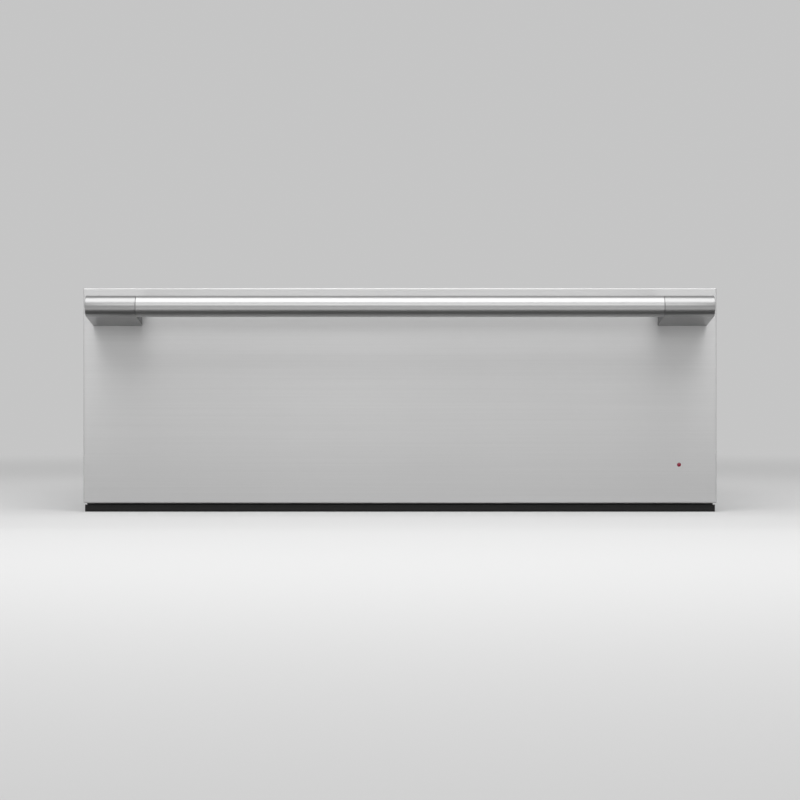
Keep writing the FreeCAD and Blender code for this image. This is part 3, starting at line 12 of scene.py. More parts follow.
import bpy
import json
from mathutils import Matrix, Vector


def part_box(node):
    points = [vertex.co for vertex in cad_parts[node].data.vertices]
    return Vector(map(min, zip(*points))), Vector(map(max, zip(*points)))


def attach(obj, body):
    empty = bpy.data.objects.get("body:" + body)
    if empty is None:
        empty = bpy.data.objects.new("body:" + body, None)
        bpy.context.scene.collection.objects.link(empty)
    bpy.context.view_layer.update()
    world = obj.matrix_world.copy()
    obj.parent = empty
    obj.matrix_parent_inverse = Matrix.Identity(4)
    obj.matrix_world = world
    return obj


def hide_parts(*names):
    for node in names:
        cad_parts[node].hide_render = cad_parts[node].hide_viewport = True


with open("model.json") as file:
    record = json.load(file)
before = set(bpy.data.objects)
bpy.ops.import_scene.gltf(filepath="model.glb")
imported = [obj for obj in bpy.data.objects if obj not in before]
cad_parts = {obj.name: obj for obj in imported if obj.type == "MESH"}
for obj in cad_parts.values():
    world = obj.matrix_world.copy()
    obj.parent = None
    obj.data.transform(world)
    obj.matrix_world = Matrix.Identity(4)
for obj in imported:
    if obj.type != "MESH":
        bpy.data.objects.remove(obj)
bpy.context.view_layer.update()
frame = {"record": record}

# %% [markdown]
# ## The tools
#
# The real drawer has to fit its opening, so no new surface may reach past the solids. That could be looked
# for by eye, but a tenth of a millimetre doesn't show.

# %% Tools, and units
import json
import math

import bmesh
import bpy
import numpy as np
from mathutils import Vector


MM = 0.001
TAU = 2 * math.pi

# %% [markdown]
# ## Effects
#
# Real metal and plastic are never one flat colour. Brushing leaves fine lines along a sheet, zinc grows
# crystals, moulded plastic has a grain, and mineral wool is a tangle. They could be pictures wrapped round
# each piece, but pictures stretch and show seams. Noise on the object's own coordinates fits any shape at
# its true scale, so noise is used here. Many finishes share an effect, so each effect is a node group with
# named inputs and outputs, built once.


# %% Helpers that add nodes
def add(tree, kind, inputs=None, **settings):
    """Adds a node. An input is a plain value, or another node's output, which is linked."""
    node = tree.nodes.new(kind)
    for name, value in settings.items():
        setattr(node, name, value)
    for name, value in (inputs or {}).items():
        if isinstance(value, bpy.types.NodeSocket):
            tree.links.new(value, node.inputs[name])
        else:
            node.inputs[name].default_value = value
    return node


def noise(tree, vector, **settings):
    """Noise at a place. Settings are named like the node's sockets, and the scale is 1 by default."""
    return add(tree, "ShaderNodeTexNoise", {"Vector": vector, "Scale": 1.0, **settings}).outputs


def stretched(tree, vector, scale):
    """Coordinates multiplied by a scale along each axis."""
    return add(tree, "ShaderNodeVectorMath", {0: vector, 1: scale}, operation="MULTIPLY").outputs[0]


def sum_of(tree, first, second):
    """first plus second."""
    return add(tree, "ShaderNodeMath", {0: first, 1: second}, operation="ADD").outputs[0]


def times(tree, first, second):
    """first times second."""
    return add(tree, "ShaderNodeMath", {0: first, 1: second}, operation="MULTIPLY").outputs[0]


# %% How every effect starts and ends
EFFECTS = {}


def start_effect(name):
    """An empty node group. It takes a vector and the depth of the relief. It puts out a tone, which is 0.5
    on average, a slow clouding for the gloss, and the normal of the relief."""
    group = bpy.data.node_groups.new(name, "ShaderNodeTree")
    group.interface.new_socket("Vector", in_out="INPUT", socket_type="NodeSocketVector")
    group.interface.new_socket("Depth", in_out="INPUT", socket_type="NodeSocketFloat")
    group.interface.new_socket("Tone", in_out="OUTPUT", socket_type="NodeSocketFloat")
    group.interface.new_socket("Cloud", in_out="OUTPUT", socket_type="NodeSocketFloat")
    group.interface.new_socket("Normal", in_out="OUTPUT", socket_type="NodeSocketVector")
    return group, group.nodes.new("NodeGroupInput").outputs


def end_effect(group, inside, tone, cloud, distance):
    """Links the outputs, and keeps the group under its name. The relief's height is the tone times a
    distance in metres."""
    bump = add(group, "ShaderNodeBump", {"Strength": inside["Depth"], "Distance": distance, "Height": tone})
    add(group, "NodeGroupOutput", {"Tone": tone, "Cloud": cloud, "Normal": bump.outputs["Normal"]})
    EFFECTS[group.name] = group
    print("effect:", group.name)


# %% Brushing: fine lines, a few deeper ones, and slow clouding
def brushing_effect():
    """On stretched coordinates, noise turns into lines. The tone is 0.6 of a fine noise plus 0.4 of one
    whose lines are four times as wide. The clouding isn't stretched, and is a third of a metre wide."""
    group, inside = start_effect("brushing")
    vector = inside["Vector"]
    fine = noise(group, vector, Detail=3.0, Roughness=0.7)["Fac"]
    coarse = noise(group, stretched(group, vector, (0.37, 0.23, 0.23)), Detail=1.0, Roughness=0.5)["Fac"]
    place = add(group, "ShaderNodeTexCoord").outputs["Object"]
    cloud = noise(group, place, Scale=3.0, Detail=2.0)["Fac"]
    tone = sum_of(group, times(group, fine, 0.6), times(group, coarse, 0.4))
    end_effect(group, inside, tone, cloud, 0.4 * MM)


brushing_effect()


# %% Grain: the fine pebbling of moulded plastic, rubber and powder paint
def grain_effect():
    """Small noise makes the pebbles, and noise 25 times as large makes the gloss uneven."""
    group, inside = start_effect("grain")
    fine = noise(group, inside["Vector"], Detail=2.0, Roughness=0.6)["Fac"]
    cloud = noise(group, stretched(group, inside["Vector"], (0.04, 0.04, 0.04)), Detail=2.0)["Fac"]
    end_effect(group, inside, fine, cloud, 0.3 * MM)


grain_effect()


# %% Spangle: the crystal pattern of galvanised sheet
def spangle_effect():
    """Each Voronoi cell is a crystal with its own brightness, and noise bends the borders between them."""
    group, inside = start_effect("spangle")
    vector = inside["Vector"]
    wobble = noise(group, vector, Scale=1.2, Detail=2.0)["Color"]
    bent = add(group, "ShaderNodeVectorMath", {0: vector, 1: wobble}, operation="ADD").outputs[0]
    cells = add(group, "ShaderNodeTexVoronoi", {"Vector": bent, "Scale": 1.0}).outputs["Color"]
    brightness = add(group, "ShaderNodeSeparateColor", {"Color": cells}).outputs[0]
    fine = noise(group, stretched(group, vector, (9, 9, 9)))["Fac"]
    end_effect(group, inside, brightness, fine, 0.3 * MM)


spangle_effect()


# %% Fibre: the tangle of mineral wool
def fibre_effect():
    """Two distorted noises, squeezed at right angles to each other, make short crossing strands. The tone
    is their mean."""
    group, inside = start_effect("fibre")
    strands = []
    for scale in ((1.0, 6.0, 3.0), (6.0, 1.0, 4.0)):
        squeezed = stretched(group, inside["Vector"], scale)
        strands.append(noise(group, squeezed, Detail=4.0, Distortion=1.5)["Fac"])
    end_effect(group, inside, times(group, sum_of(group, *strands), 0.5), strands[0], 1.0 * MM)


fibre_effect()

# %% [markdown]
# ## From an effect to a finish
#
# A finish is what the last tool left on a surface: it was brushed, blasted, plated or moulded. Each could
# be its own tree of nodes, but the trees would differ in little more than their numbers. So one function
# makes them all: an effect at some scale drives a colour between a dark and a light value, and a roughness
# between a glossy and a dull one. Constants such as metalness are set on the shader itself, where an
# exporter can read them.

# %% One finish
FINISHES = {}
METAL = 1.0
DULL_METAL = 0.9
ALONG_X = (5.0, 1400.0, 1400.0)
ALONG_Y = (1400.0, 5.0, 1400.0)


def even(scale):
    """The same scale along every axis."""
    return (scale,) * 3


def grey(value):
    """A neutral colour."""
    return (value,) * 3


def finish(name, kind, scale, dark, light, roughness, depth, metallic=0.0, **constants):
    """A material whose colour runs from dark to light with the effect's tone, and whose roughness runs over
    a range with its slow clouding. Noise seldom leaves the middle of its own range, so that middle is
    spread over the whole way. The material is kept under its name."""
    material = bpy.data.materials.new(name)
    material.use_nodes = True
    tree = material.node_tree
    shader = tree.nodes["Principled BSDF"]
    place = add(tree, "ShaderNodeTexCoord").outputs["Object"]
    surface = {"Vector": stretched(tree, place, scale), "Depth": depth}
    group = add(tree, "ShaderNodeGroup", surface, node_tree=EFFECTS[kind]).outputs
    tones = {"Value": group["Tone"], "From Min": 0.25, "From Max": 0.75}
    share = add(tree, "ShaderNodeMapRange", tones).outputs["Result"]
    colour = add(tree, "ShaderNodeMix", {"Factor": share, 6: (*dark, 1), 7: (*light, 1)}, data_type="RGBA")
    clouds = {"Value": group["Cloud"], "From Min": 0.3, "From Max": 0.7}
    gloss = add(tree, "ShaderNodeMapRange", {**clouds, "To Min": roughness[0], "To Max": roughness[1]})
    tree.links.new(colour.outputs[2], shader.inputs["Base Color"])
    tree.links.new(gloss.outputs["Result"], shader.inputs["Roughness"])
    tree.links.new(group["Normal"], shader.inputs["Normal"])
    shader.inputs["Metallic"].default_value = metallic
    for socket, value in constants.items():
        shader.inputs[socket.replace("_", " ")].default_value = value
    FINISHES[name] = material


# %% [markdown]
# ## Steel
#
# The front, the bar and its brackets are brushed along their length, so their lines run in X. The front is
# the palest and dullest, and its highlights spread across the brushing. That comes from thousands of
# grooves, too many to model, and Anisotropic does the same to the light. The brackets take the bar's steel
# made a little darker, which is painted shade that dims their highlight. Their inner ends are dark grey with
# no lines at all, which is painted shade where shadow falls on them. The door's inner panel, the pan and the
# liner are satin steel, the fan's shaft is ground, and the runners' ball cages are plain and smooth.

# %% Finishes of steel
finish("front_steel", "brushing", ALONG_X, grey(0.69), grey(0.73), (0.50, 0.54), 0.08, METAL,
       Anisotropic=0.8, Anisotropic_Rotation=0.25)
finish("handle_steel", "brushing", ALONG_X, grey(0.45), grey(0.50), (0.28, 0.32), 0.06, METAL)
# The bar's steel made darker for the brackets: painted shade that dims their highlight
finish("shaded_bracket_steel", "brushing", ALONG_X, grey(0.37), grey(0.42), (0.28, 0.32), 0.06, METAL)
# Dark grey for the brackets' inner ends: painted shade where shadow falls on them
finish("shaded_end_steel", "grain", even(2500.0), grey(0.15), grey(0.20), (0.45, 0.6), 0.15, METAL)
finish("inner_steel", "brushing", ALONG_X, grey(0.52), grey(0.60), (0.30, 0.38), 0.10, METAL)
finish("liner_steel", "brushing", ALONG_X, grey(0.46), grey(0.54), (0.34, 0.42), 0.10, METAL)
finish("shaft_steel", "brushing", even(1500.0), grey(0.5), grey(0.62), (0.15, 0.25), 0.05, METAL)
finish("cage_steel", "grain", even(1200.0), grey(0.42), grey(0.56), (0.2, 0.3), 0.06, METAL)
print("finishes so far:", len(FINISHES))

# %% [markdown]
# ## Zinc, aluminium and the element
#
# The casing is galvanised, so it shows large soft crystals. Painting them would take long, and each Voronoi
# cell is one already. The screws and the runners are zinc plated, which is too fine for crystals: the
# screws get a yellowish grain, and the runners a bluish sheen with the lines that rolling leaves along
# them. The fan is bare aluminium. The heating element's tube has gone brown and dull from its own heat.

# %% Finishes of zinc and other metals
finish("casing_steel", "spangle", even(150.0), (0.515, 0.525, 0.535), (0.565, 0.575, 0.58), (0.45, 0.58),
       0.03, DULL_METAL)
finish("zinc_fastener", "grain", even(1500.0), (0.55, 0.55, 0.52), (0.72, 0.71, 0.66), (0.25, 0.38),
       0.10, METAL)
finish("runner_zinc", "brushing", ALONG_Y, (0.56, 0.57, 0.58), (0.70, 0.71, 0.72), (0.22, 0.34), 0.08, METAL)
finish("fan_aluminium", "grain", even(500.0), grey(0.62), grey(0.76), (0.25, 0.4), 0.06, METAL)
finish("element_tube", "grain", even(350.0), (0.16, 0.13, 0.11), (0.32, 0.27, 0.23), (0.35, 0.55),
       0.15, DULL_METAL)
print("finishes so far:", len(FINISHES))

# %% [markdown]
# ## Plastic, rubber, paint and wool
#
# Most of the plastic, the rubber and the motor's paint are nearly black here, and gloss is what tells them
# apart: buttons are smooth, and the seal is dull. So they share one effect, with other scales and
# roughness. The pilot light is clear red plastic with a polished skin. It could let light through, but its
# colour is too deep for that to show, so it is a solid red under a clear coat, which renders faster. The
# circuit board has green lacquer, the element's bushes are white ceramic, and the insulation is yellow
# mineral wool.

# %% Finishes of the rest
finish("black_trim", "grain", even(2500.0), grey(0.012), grey(0.02), (0.35, 0.45), 0.12,
       Specular_IOR_Level=0.25)
finish("black_plastic", "grain", even(3000.0), grey(0.012), grey(0.022), (0.38, 0.5), 0.2)
finish("grey_plastic", "grain", even(2200.0), grey(0.26), grey(0.33), (0.45, 0.6), 0.25)
finish("button_plastic", "grain", even(3000.0), grey(0.03), grey(0.05), (0.3, 0.42), 0.12)
finish("seal_rubber", "grain", even(2500.0), grey(0.018), grey(0.035), (0.55, 0.7), 0.25)
finish("motor_paint", "grain", even(1500.0), grey(0.03), grey(0.055), (0.4, 0.55), 0.25)
finish("pilot_red", "grain", even(900.0), (0.19, 0.008, 0.028), (0.27, 0.014, 0.042), (0.08, 0.14), 0.02,
       Coat_Weight=0.5, IOR=1.49)
finish("circuit_board", "grain", even(600.0), (0.012, 0.09, 0.035), (0.03, 0.16, 0.06), (0.25, 0.4), 0.08)
finish("white_ceramic", "grain", even(700.0), (0.72, 0.70, 0.64), (0.82, 0.80, 0.75), (0.2, 0.3), 0.06)
finish("wool", "fibre", even(260.0), (0.42, 0.36, 0.22), (0.68, 0.62, 0.44), (0.9, 1.0), 0.8)
print("all finishes:", ", ".join(FINISHES))

# %% [markdown]
# ## Dressing the solids
#
# Most pieces of the drawer are right as they come, and only need their finish. Picking a material for each
# by hand would be slow and easy to get wrong. The frame's record says which finish each solid takes and
# which body it moves with, so one short loop dresses all of them.

# %% A finish for each solid
SLOT_OF = {part["node"]: part["material_slot"] for part in frame["record"]["subparts"]}
BODY_OF = {node: body for body, nodes in frame["record"]["behaviour"]["bodies"].items() for node in nodes}
for node, slot in SLOT_OF.items():
    solid = bpy.data.objects[node]
    solid.data.materials.clear()
    solid.data.materials.append(FINISHES[slot])
print("solids dressed:", len(SLOT_OF))

# %% [markdown]
# ## Surfaces from grids of points
#
# Folded, cast and turned parts could be modelled by hand with extrusions and bevels, but then no size could
# change. Here every new piece is a grid of points instead: one direction runs round the piece and the other
# along it. The grid is one numpy array, and its faces are worked out by arithmetic on row and column
# numbers.


# %% The faces of a grid
def grid_faces(rows, columns, wrap_rows, wrap_columns, first=0):
    """Four corners for each cell of a grid: (i, j), (i+1, j), (i+1, j+1), (i, j+1), counted row by row. A
    wrapped direction joins its last line to its first."""
    i, j = np.meshgrid(
        np.arange(rows if wrap_rows else rows - 1),
        np.arange(columns if wrap_columns else columns - 1),
        indexing="ij",
    )
    i, j = i.ravel(), j.ravel()
    after_i, after_j = (i + 1) % rows, (j + 1) % columns
    cells = [i * columns + j, after_i * columns + j, after_i * columns + after_j, i * columns + after_j]
    return np.stack(cells, axis=1) + first


print("a sheet of 3 by 3 points:", len(grid_faces(3, 3, False, False)), "faces")
print("a tube of 3 by 3 points:", len(grid_faces(3, 3, False, True)), "faces")

# %% From a grid to a piece
MERGE = 1e-7


def mesh_of(name, points, faces):
    """A smooth mesh from an array of points and a list of faces."""
    mesh = bpy.data.meshes.new(name)
    mesh.from_pydata(points.reshape(-1, 3).tolist(), [], [list(face) for face in faces])
    mesh.validate()
    mesh.polygons.foreach_set("use_smooth", np.full(len(mesh.polygons), True))
    return mesh


def piece(name, node, points, faces, finish_name=None, stands_for_node=True):
    """A new piece that moves with a node's body and stands for the node. It takes the finish of the node's
    slot, unless another one is named."""
    mesh = mesh_of(name, points, faces)
    mesh.materials.append(FINISHES[finish_name or SLOT_OF[node]])
    made = bpy.data.objects.new(name, mesh)
    bpy.context.scene.collection.objects.link(made)
    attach(made, BODY_OF[node])
    if stands_for_node:
        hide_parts(node)
    print(f"{name}: {len(mesh.vertices)} points, {len(mesh.polygons)} faces")
    return made


def close_up(made, crease):
    """Merges the points that lie on each other, as at a pole, points the faces outwards, and keeps the
    edges sharp where the surface turns by more than the crease, in degrees."""
    mesh = bmesh.new()
    mesh.from_mesh(made.data)
    bmesh.ops.remove_doubles(mesh, verts=mesh.verts, dist=MERGE)
    bmesh.ops.recalc_face_normals(mesh, faces=mesh.faces)
    mesh.to_mesh(made.data)
    mesh.free()
    made.data.set_sharp_from_angle(angle=math.radians(crease))


# %% [markdown]
# ## Where things are
#
# A handle has to meet the holes that were drilled for it, and a new surface has to meet the solids round
# it. Its place could be typed in, but then it would be wrong as soon as a size changes. Every place below
# comes from the solids' own boxes instead.


# %% Corners of a solid
def corners(node):
    """Lowest and highest corner of a solid, as arrays, in metres."""
    low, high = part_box(node)
    return np.array(low), np.array(high)


BAR_LOW, BAR_HIGH = corners("handle_bar")
FRONT_Y = corners("front_panel")[0][1]
BAR_RADIUS = (BAR_HIGH[2] - BAR_LOW[2]) / 2
BAR_Y = (BAR_LOW[1] + BAR_HIGH[1]) / 2
BAR_Z = (BAR_LOW[2] + BAR_HIGH[2]) / 2
print("bar radius and middle:", BAR_RADIUS, BAR_Y, BAR_Z)

# %% [markdown]
# ## The bar
#
# The bar is a drawn tube. A cylinder with a bevel would look much the same, but its flats would show along
# such a long highlight. So its wall is a closed outline in two directions only, length and radius, which is
# turned round the bar's axis in many fine steps. The outline's ends have a tiny chamfer: where the bar
# meets its brackets, it makes the fine dark seam of a real handle.


# %% Turning an outline round an axis
def turned(outline, axis, centre, steps):
    """Each outline point (a, r) goes round a circle: a along the axis, and r cos t, r sin t across it. Rows
    follow the outline and columns the circle."""
    along, radius = np.asarray(outline).T
    turn = np.arange(steps) / steps * TAU
    points = np.empty((len(along), steps, 3))
    first, second = [i for i in range(3) if i != axis]
    points[..., axis] = along[:, None] + centre[axis]
    points[..., first] = radius[:, None] * np.cos(turn) + centre[first]
    points[..., second] = radius[:, None] * np.sin(turn) + centre[second]
    return points


# %% The bar's surface
SEAM = 0.35 * MM
WALL = 2.0 * MM
BAR_STEPS = 128
half = BAR_HIGH[0]
bore = BAR_RADIUS - WALL
rim = BAR_RADIUS - SEAM
left_end = [(-half, bore), (-half, rim), (-half + SEAM, BAR_RADIUS)]
right_end = [(half - SEAM, BAR_RADIUS), (half, rim), (half, bore)]
points = turned(left_end + right_end, 0, (0.0, BAR_Y, BAR_Z), BAR_STEPS)
close_up(piece("bar_tube", "handle_bar", points, grid_faces(*points.shape[:2], True, True)), crease=35.0)

# %% [markdown]
# ## The brackets
#
# A bracket is a casting. It is round in front, like the bar, flat on top, and slopes down underneath
# towards the front. A bevel tool would catch on the long thin faces of its arc. So its outline is carried
# across its width as rings, and drawn in a little at both ends over a quarter circle, which is the same
# soft edge.

# %% A bracket's outline
ARC_STEPS = 48


def bracket_outline(heel):
    """Points (y, z) round the bracket, against the clock: the top's far corner, a half circle over the
    front, and the heel."""
    turn = np.linspace(math.pi / 2, 3 * math.pi / 2, ARC_STEPS)
    arc = np.stack([BAR_Y + BAR_RADIUS * np.cos(turn), BAR_Z + BAR_RADIUS * np.sin(turn)], axis=1)
    top = np.array([[FRONT_Y, BAR_Z + BAR_RADIUS]])
    foot = np.array([[FRONT_Y, heel]])
    return np.concatenate([top, arc, foot])


def drawn_in(outline, inset):
    """The outline moved inwards: each point goes along the mean of its two sides' normals, but the points
    that lie against the front only slide along it, towards the middle."""
    after = np.roll(outline, -1, axis=0) - outline
    before = outline - np.roll(outline, 1, axis=0)
    normals = []
    for side in (after, before):
        side = side / np.linalg.norm(side, axis=1)[:, None]
        normals.append(np.stack([-side[:, 1], side[:, 0]], axis=1))
    mean = normals[0] + normals[1]
    mean /= np.linalg.norm(mean, axis=1)[:, None]
    moved = outline + mean * inset
    against = np.isclose(outline[:, 0], FRONT_Y)
    moved[against, 0] = FRONT_Y
    middle = outline[:, 1].mean()
    moved[against, 1] = outline[against, 1] - np.sign(outline[against, 1] - middle) * inset
    return moved


print("points round a bracket:", ARC_STEPS + 2)

# %% Rings across a bracket
BRACKET_EDGE = 0.8 * MM
EDGE_STEPS = 6


def at_x(x, ring):
    """Points (y, z) as points (x, y, z)."""
    return np.column_stack([np.full(len(ring), x), ring])


def bracket(name, node, near, far):
    """Carries the outline from the near end to the far end. At the ends, the inset is edge (1 - cos a) at a
    distance of edge (1 - sin a) from the end, for a from 90 to 0 degrees."""
    outline = bracket_outline(corners(node)[0][2])
    way = math.copysign(1.0, far - near)
    turns = np.radians(np.linspace(90, 0, EDGE_STEPS))
    edge = [(BRACKET_EDGE * (1 - math.sin(a)), BRACKET_EDGE * (1 - math.cos(a))) for a in turns]
    rings = [at_x(near + way * distance, drawn_in(outline, inset)) for distance, inset in edge]
    rings += [at_x(far - way * distance, drawn_in(outline, inset)) for distance, inset in reversed(edge)]
    rows, columns = len(rings), len(outline)
    faces = grid_faces(rows, columns, False, True).tolist()
    faces.append(list(range(columns)))
    faces.append(list(range((rows - 1) * columns, rows * columns))[::-1])
    # The brackets' finish is the bar's steel made darker, as painted shade that dims their highlight
    close_up(piece(name, node, np.stack(rings), faces, "shaded_bracket_steel"), crease=30.0)


# %% The inner ends, and both brackets
END_PROUD = 0.01 * MM
END_SHARE = 0.985


def inner_end(name, node, x):
    """The outline as one flat face, a hair in front of the bracket's inner end and a hair smaller. It faces
    the middle of the bar. Its dark grey is painted shade where shadow falls on the end."""
    ring = bracket_outline(corners(node)[0][2])
    middle = ring.mean(axis=0)
    ring = middle + (ring - middle) * END_SHARE
    order = list(range(len(ring)))
    face = order[::-1] if x > 0 else order
    piece(name, node, at_x(x, ring), [face], "shaded_end_steel", stands_for_node=False)


for side, word in ((1, "right"), (-1, "left")):
    node = f"handle_bracket_{word}"
    low, high = corners(node)
    bracket(f"bracket_{word}", node, side * BAR_HIGH[0], high[0] if side > 0 else low[0])
    inner_end(f"bracket_{word}_end", node, side * (BAR_HIGH[0] - END_PROUD))

# %% [markdown]
# ## The pilot light
#
# A lens of red plastic stands a little out of the front. A squashed sphere would do for its dome, but it
# would have no shank. So a whole outline is turned round an axis that goes into the front: a quarter
# ellipse for the dome, then a straight shank through the sheet, and a flange behind it. Both its ends lie a
# millionth of a millimetre off the axis, and each is merged to one point, a pole.

# %% The lens
POLE = 1e-9
LENS_RADIUS = 2.3 * MM
FLANGE_THICKNESS = 1.5 * MM
DOME_STEPS = 12
LENS_STEPS = 48
low, high = corners("pilot_lens")
centre = (low + high) / 2
proud = FRONT_Y - low[1]
flange = (high[0] - low[0]) / 2
behind = high[1] - FLANGE_THICKNESS
turns = np.radians(np.linspace(0, 90, DOME_STEPS))
dome = [(low[1] + proud * (1 - math.cos(t)), max(LENS_RADIUS * math.sin(t), POLE)) for t in turns]
outline = dome + [(behind, LENS_RADIUS), (behind, flange), (high[1], flange), (high[1], POLE)]
points = turned(outline, 1, (centre[0], 0.0, centre[2]), LENS_STEPS)
close_up(piece("pilot_dome", "pilot_lens", points, grid_faces(*points.shape[:2], False, True)), crease=40.0)

# %% [markdown]
# ## The buttons
#
# Four push buttons stand almost flush in the black strip. A finger finds them by their hollow. Sculpting it
# would give four buttons that differ, so the cap is one turned outline whose top dips like a shallow dish
# inside a ring, and every button gets it.

# %% Button caps
CAP_RADIUS = 4.0 * MM
SKIRT_HEIGHT = 1.5 * MM
DISH = 0.35 * MM
DISH_SHARE = 0.86
DISH_STEPS = 12
CAP_STEPS = 48


def cap_outline(top, bottom):
    """Outline (z, r) of a cap. Inside the dish's radius r0, the top lies dish (1 - (r / r0)^2) lower.
    Outside it, the last 75 degrees of a quarter circle lead down the side."""
    inner = np.linspace(POLE, DISH_SHARE * CAP_RADIUS, DISH_STEPS)
    hollow = [(top - DISH * (1 - (r / inner[-1]) ** 2), r) for r in inner]
    ring = (1 - DISH_SHARE) * CAP_RADIUS
    turns = np.radians(np.linspace(15, 90, 6))
    edge = [(top - ring * (1 - math.cos(t)), CAP_RADIUS - ring * (1 - math.sin(t))) for t in turns]
    return hollow + edge + [(bottom, CAP_RADIUS)]


for node in [name for name in SLOT_OF if name.startswith("button_")]:
    low, high = corners(node)
    middle = (low + high) / 2
    skirt = (high[0] - low[0]) / 2
    shoulder = low[2] + SKIRT_HEIGHT
    outline = cap_outline(high[2], shoulder) + [(shoulder, skirt), (low[2], skirt), (low[2], POLE)]
    points = turned(outline, 2, (middle[0], middle[1], 0.0), CAP_STEPS)
    close_up(piece(f"{node}_cap", node, points, grid_faces(*points.shape[:2], False, True)), crease=40.0)

# %% [markdown]
# ## Screws
#
# Every screw that can be seen, on the casing, on the fan's cover and inside the pan, has a domed head with
# a cross recess. A boolean cut would leave long thin faces round the cross. Here one head is a height over
# a round grid instead: a dome that falls off towards the rim, minus a cross that gets shallower towards the
# ends of its arms. All screws of a kind are one mesh, made by adding each screw's place to the same grid.

# %% A screw head as a height over a round grid
HEAD_RADIUS = 3.5 * MM
HEAD_HEIGHT = 2.0 * MM
HEAD_RINGS = 14
HEAD_STEPS = 48
ARM_REACH = 2.4 * MM
ARM_DEPTH = 1.1 * MM
ARM_HALF_WIDTH = 0.62 * MM
ARM_BANK = 0.3 * MM


def screw_head():
    """Points (u, v, w) over the head. w = height sqrt(1 - 0.75 (r / radius)^2) for the dome, less the
    recess: its depth falls from the arms' depth in the middle to nothing at their reach, and across an arm
    it climbs its bank to nothing at the arm's half width, measured by the smaller of |u| and |v|. The last
    row is the rim."""
    r = np.linspace(POLE, HEAD_RADIUS, HEAD_RINGS)[:, None]
    turn = (np.arange(HEAD_STEPS) / HEAD_STEPS * TAU)[None, :]
    u = r * np.cos(turn)
    v = r * np.sin(turn)
    dome = HEAD_HEIGHT * np.sqrt(1 - 0.75 * (r / HEAD_RADIUS) ** 2)
    across = np.minimum(np.abs(u), np.abs(v))
    depth = ARM_DEPTH * np.clip(1 - r / ARM_REACH, 0, 1)
    recess = depth * np.clip((ARM_HALF_WIDTH - across) / ARM_BANK, 0, 1)
    top = np.stack([u, v, dome - recess], axis=-1)
    rim = np.stack([u[-1], v[-1], 0 * u[-1]], axis=-1)
    return np.concatenate([top, rim[None]])


print("points of a screw head:", screw_head().size // 3)

# %% Finding every screw of a node
SCREW_REACH = 20.0 * MM


def islands(node):
    """The points of each screw in a node. The reach is longer than any screw and shorter than the way to
    the next one, so the points within reach of a first point are one screw."""
    mesh = bpy.data.objects[node].data
    points = np.empty(len(mesh.vertices) * 3)
    mesh.vertices.foreach_get("co", points)
    points = points.reshape(-1, 3)
    found = []
    while len(points):
        near = np.linalg.norm(points - points[0], axis=1) < SCREW_REACH
        found.append(points[near])
        points = points[~near]
    return found


def facing(points):
    """The axis that a screw lies along, and the way it faces. Its head is as wide in two directions, so the
    axis is the one whose length differs most from the head's width. The head's rim, which is all that lies
    further out than nine tenths of its radius, is on the side that the screw faces."""
    low, high = points.min(axis=0), points.max(axis=0)
    axis = int(np.argmax(np.abs(high - low - 2 * HEAD_RADIUS)))
    off = np.delete(points - (low + high) / 2, axis, axis=1)
    rim = points[np.linalg.norm(off, axis=1) > 0.9 * HEAD_RADIUS, axis]
    return axis, math.copysign(1.0, rim.mean() - (low + high)[axis] / 2)


print("screws that hold the cover:", len(islands("cover_screws")))

# %% Heads and shanks
SHANK_RADIUS = 1.75 * MM


def heads(node):
    """Puts a head and a plain shank at every screw of a node. Below the head's rim come a ring at the seat
    and one at the far end, both with the shank's radius, and a tiny one that closes the end."""
    head = screw_head()
    below = np.array([SHANK_RADIUS, SHANK_RADIUS, POLE])[:, None]
    columns = HEAD_STEPS
    rows = len(head) + len(below)
    turn = np.arange(columns) / columns * TAU
    made, faces = [], []
    for solid in islands(node):
        axis, way = facing(solid)
        low, high = solid.min(axis=0), solid.max(axis=0)
        middle = (low + high) / 2
        tip, far = (high, low) if way > 0 else (low, high)
        seat = tip[axis] - way * HEAD_HEIGHT
        first, second = [i for i in range(3) if i != axis]
        across = np.concatenate([head[..., 0], below * np.cos(turn)])
        upwards = np.concatenate([head[..., 1], below * np.sin(turn)])
        points = np.empty((rows, columns, 3))
        points[..., first] = middle[first] + across
        points[..., second] = middle[second] + upwards
        points[:len(head), :, axis] = seat + way * head[..., 2]
        points[len(head), :, axis] = seat
        points[len(head) + 1:, :, axis] = far[axis]
        faces.append(grid_faces(rows, columns, False, True, len(made) * rows * columns))
        made.append(points)
    print(f"{node}: {len(made)} screws")
    return np.stack(made), np.concatenate(faces)


for node in ("cover_screws", "pan_screws", "back_screws", "fan_cover_screws"):
    points, faces = heads(node)
    close_up(piece(f"{node}_heads", node, points, faces), crease=35.0)

# %% [markdown]
# ## The cable gland
#
# The gland grips the supply cable where it enters. Its nut is a hexagon for a spanner, with the corners
# turned away. A six-sided cylinder would need those corners cut off afterwards. Here the gland is turned
# like the other round pieces, and on two rows the radius is that of a hexagon instead of a circle: the
# faces between those rows and their round neighbours are the turned corners.

# %% The gland's body
GLAND_STEPS = 96
GLAND_BORE = 4.5 * MM
THREAD_RADIUS = 10.0 * MM
MOUTH_RADIUS = 7.4 * MM
NUT_HEIGHT = 10.0 * MM


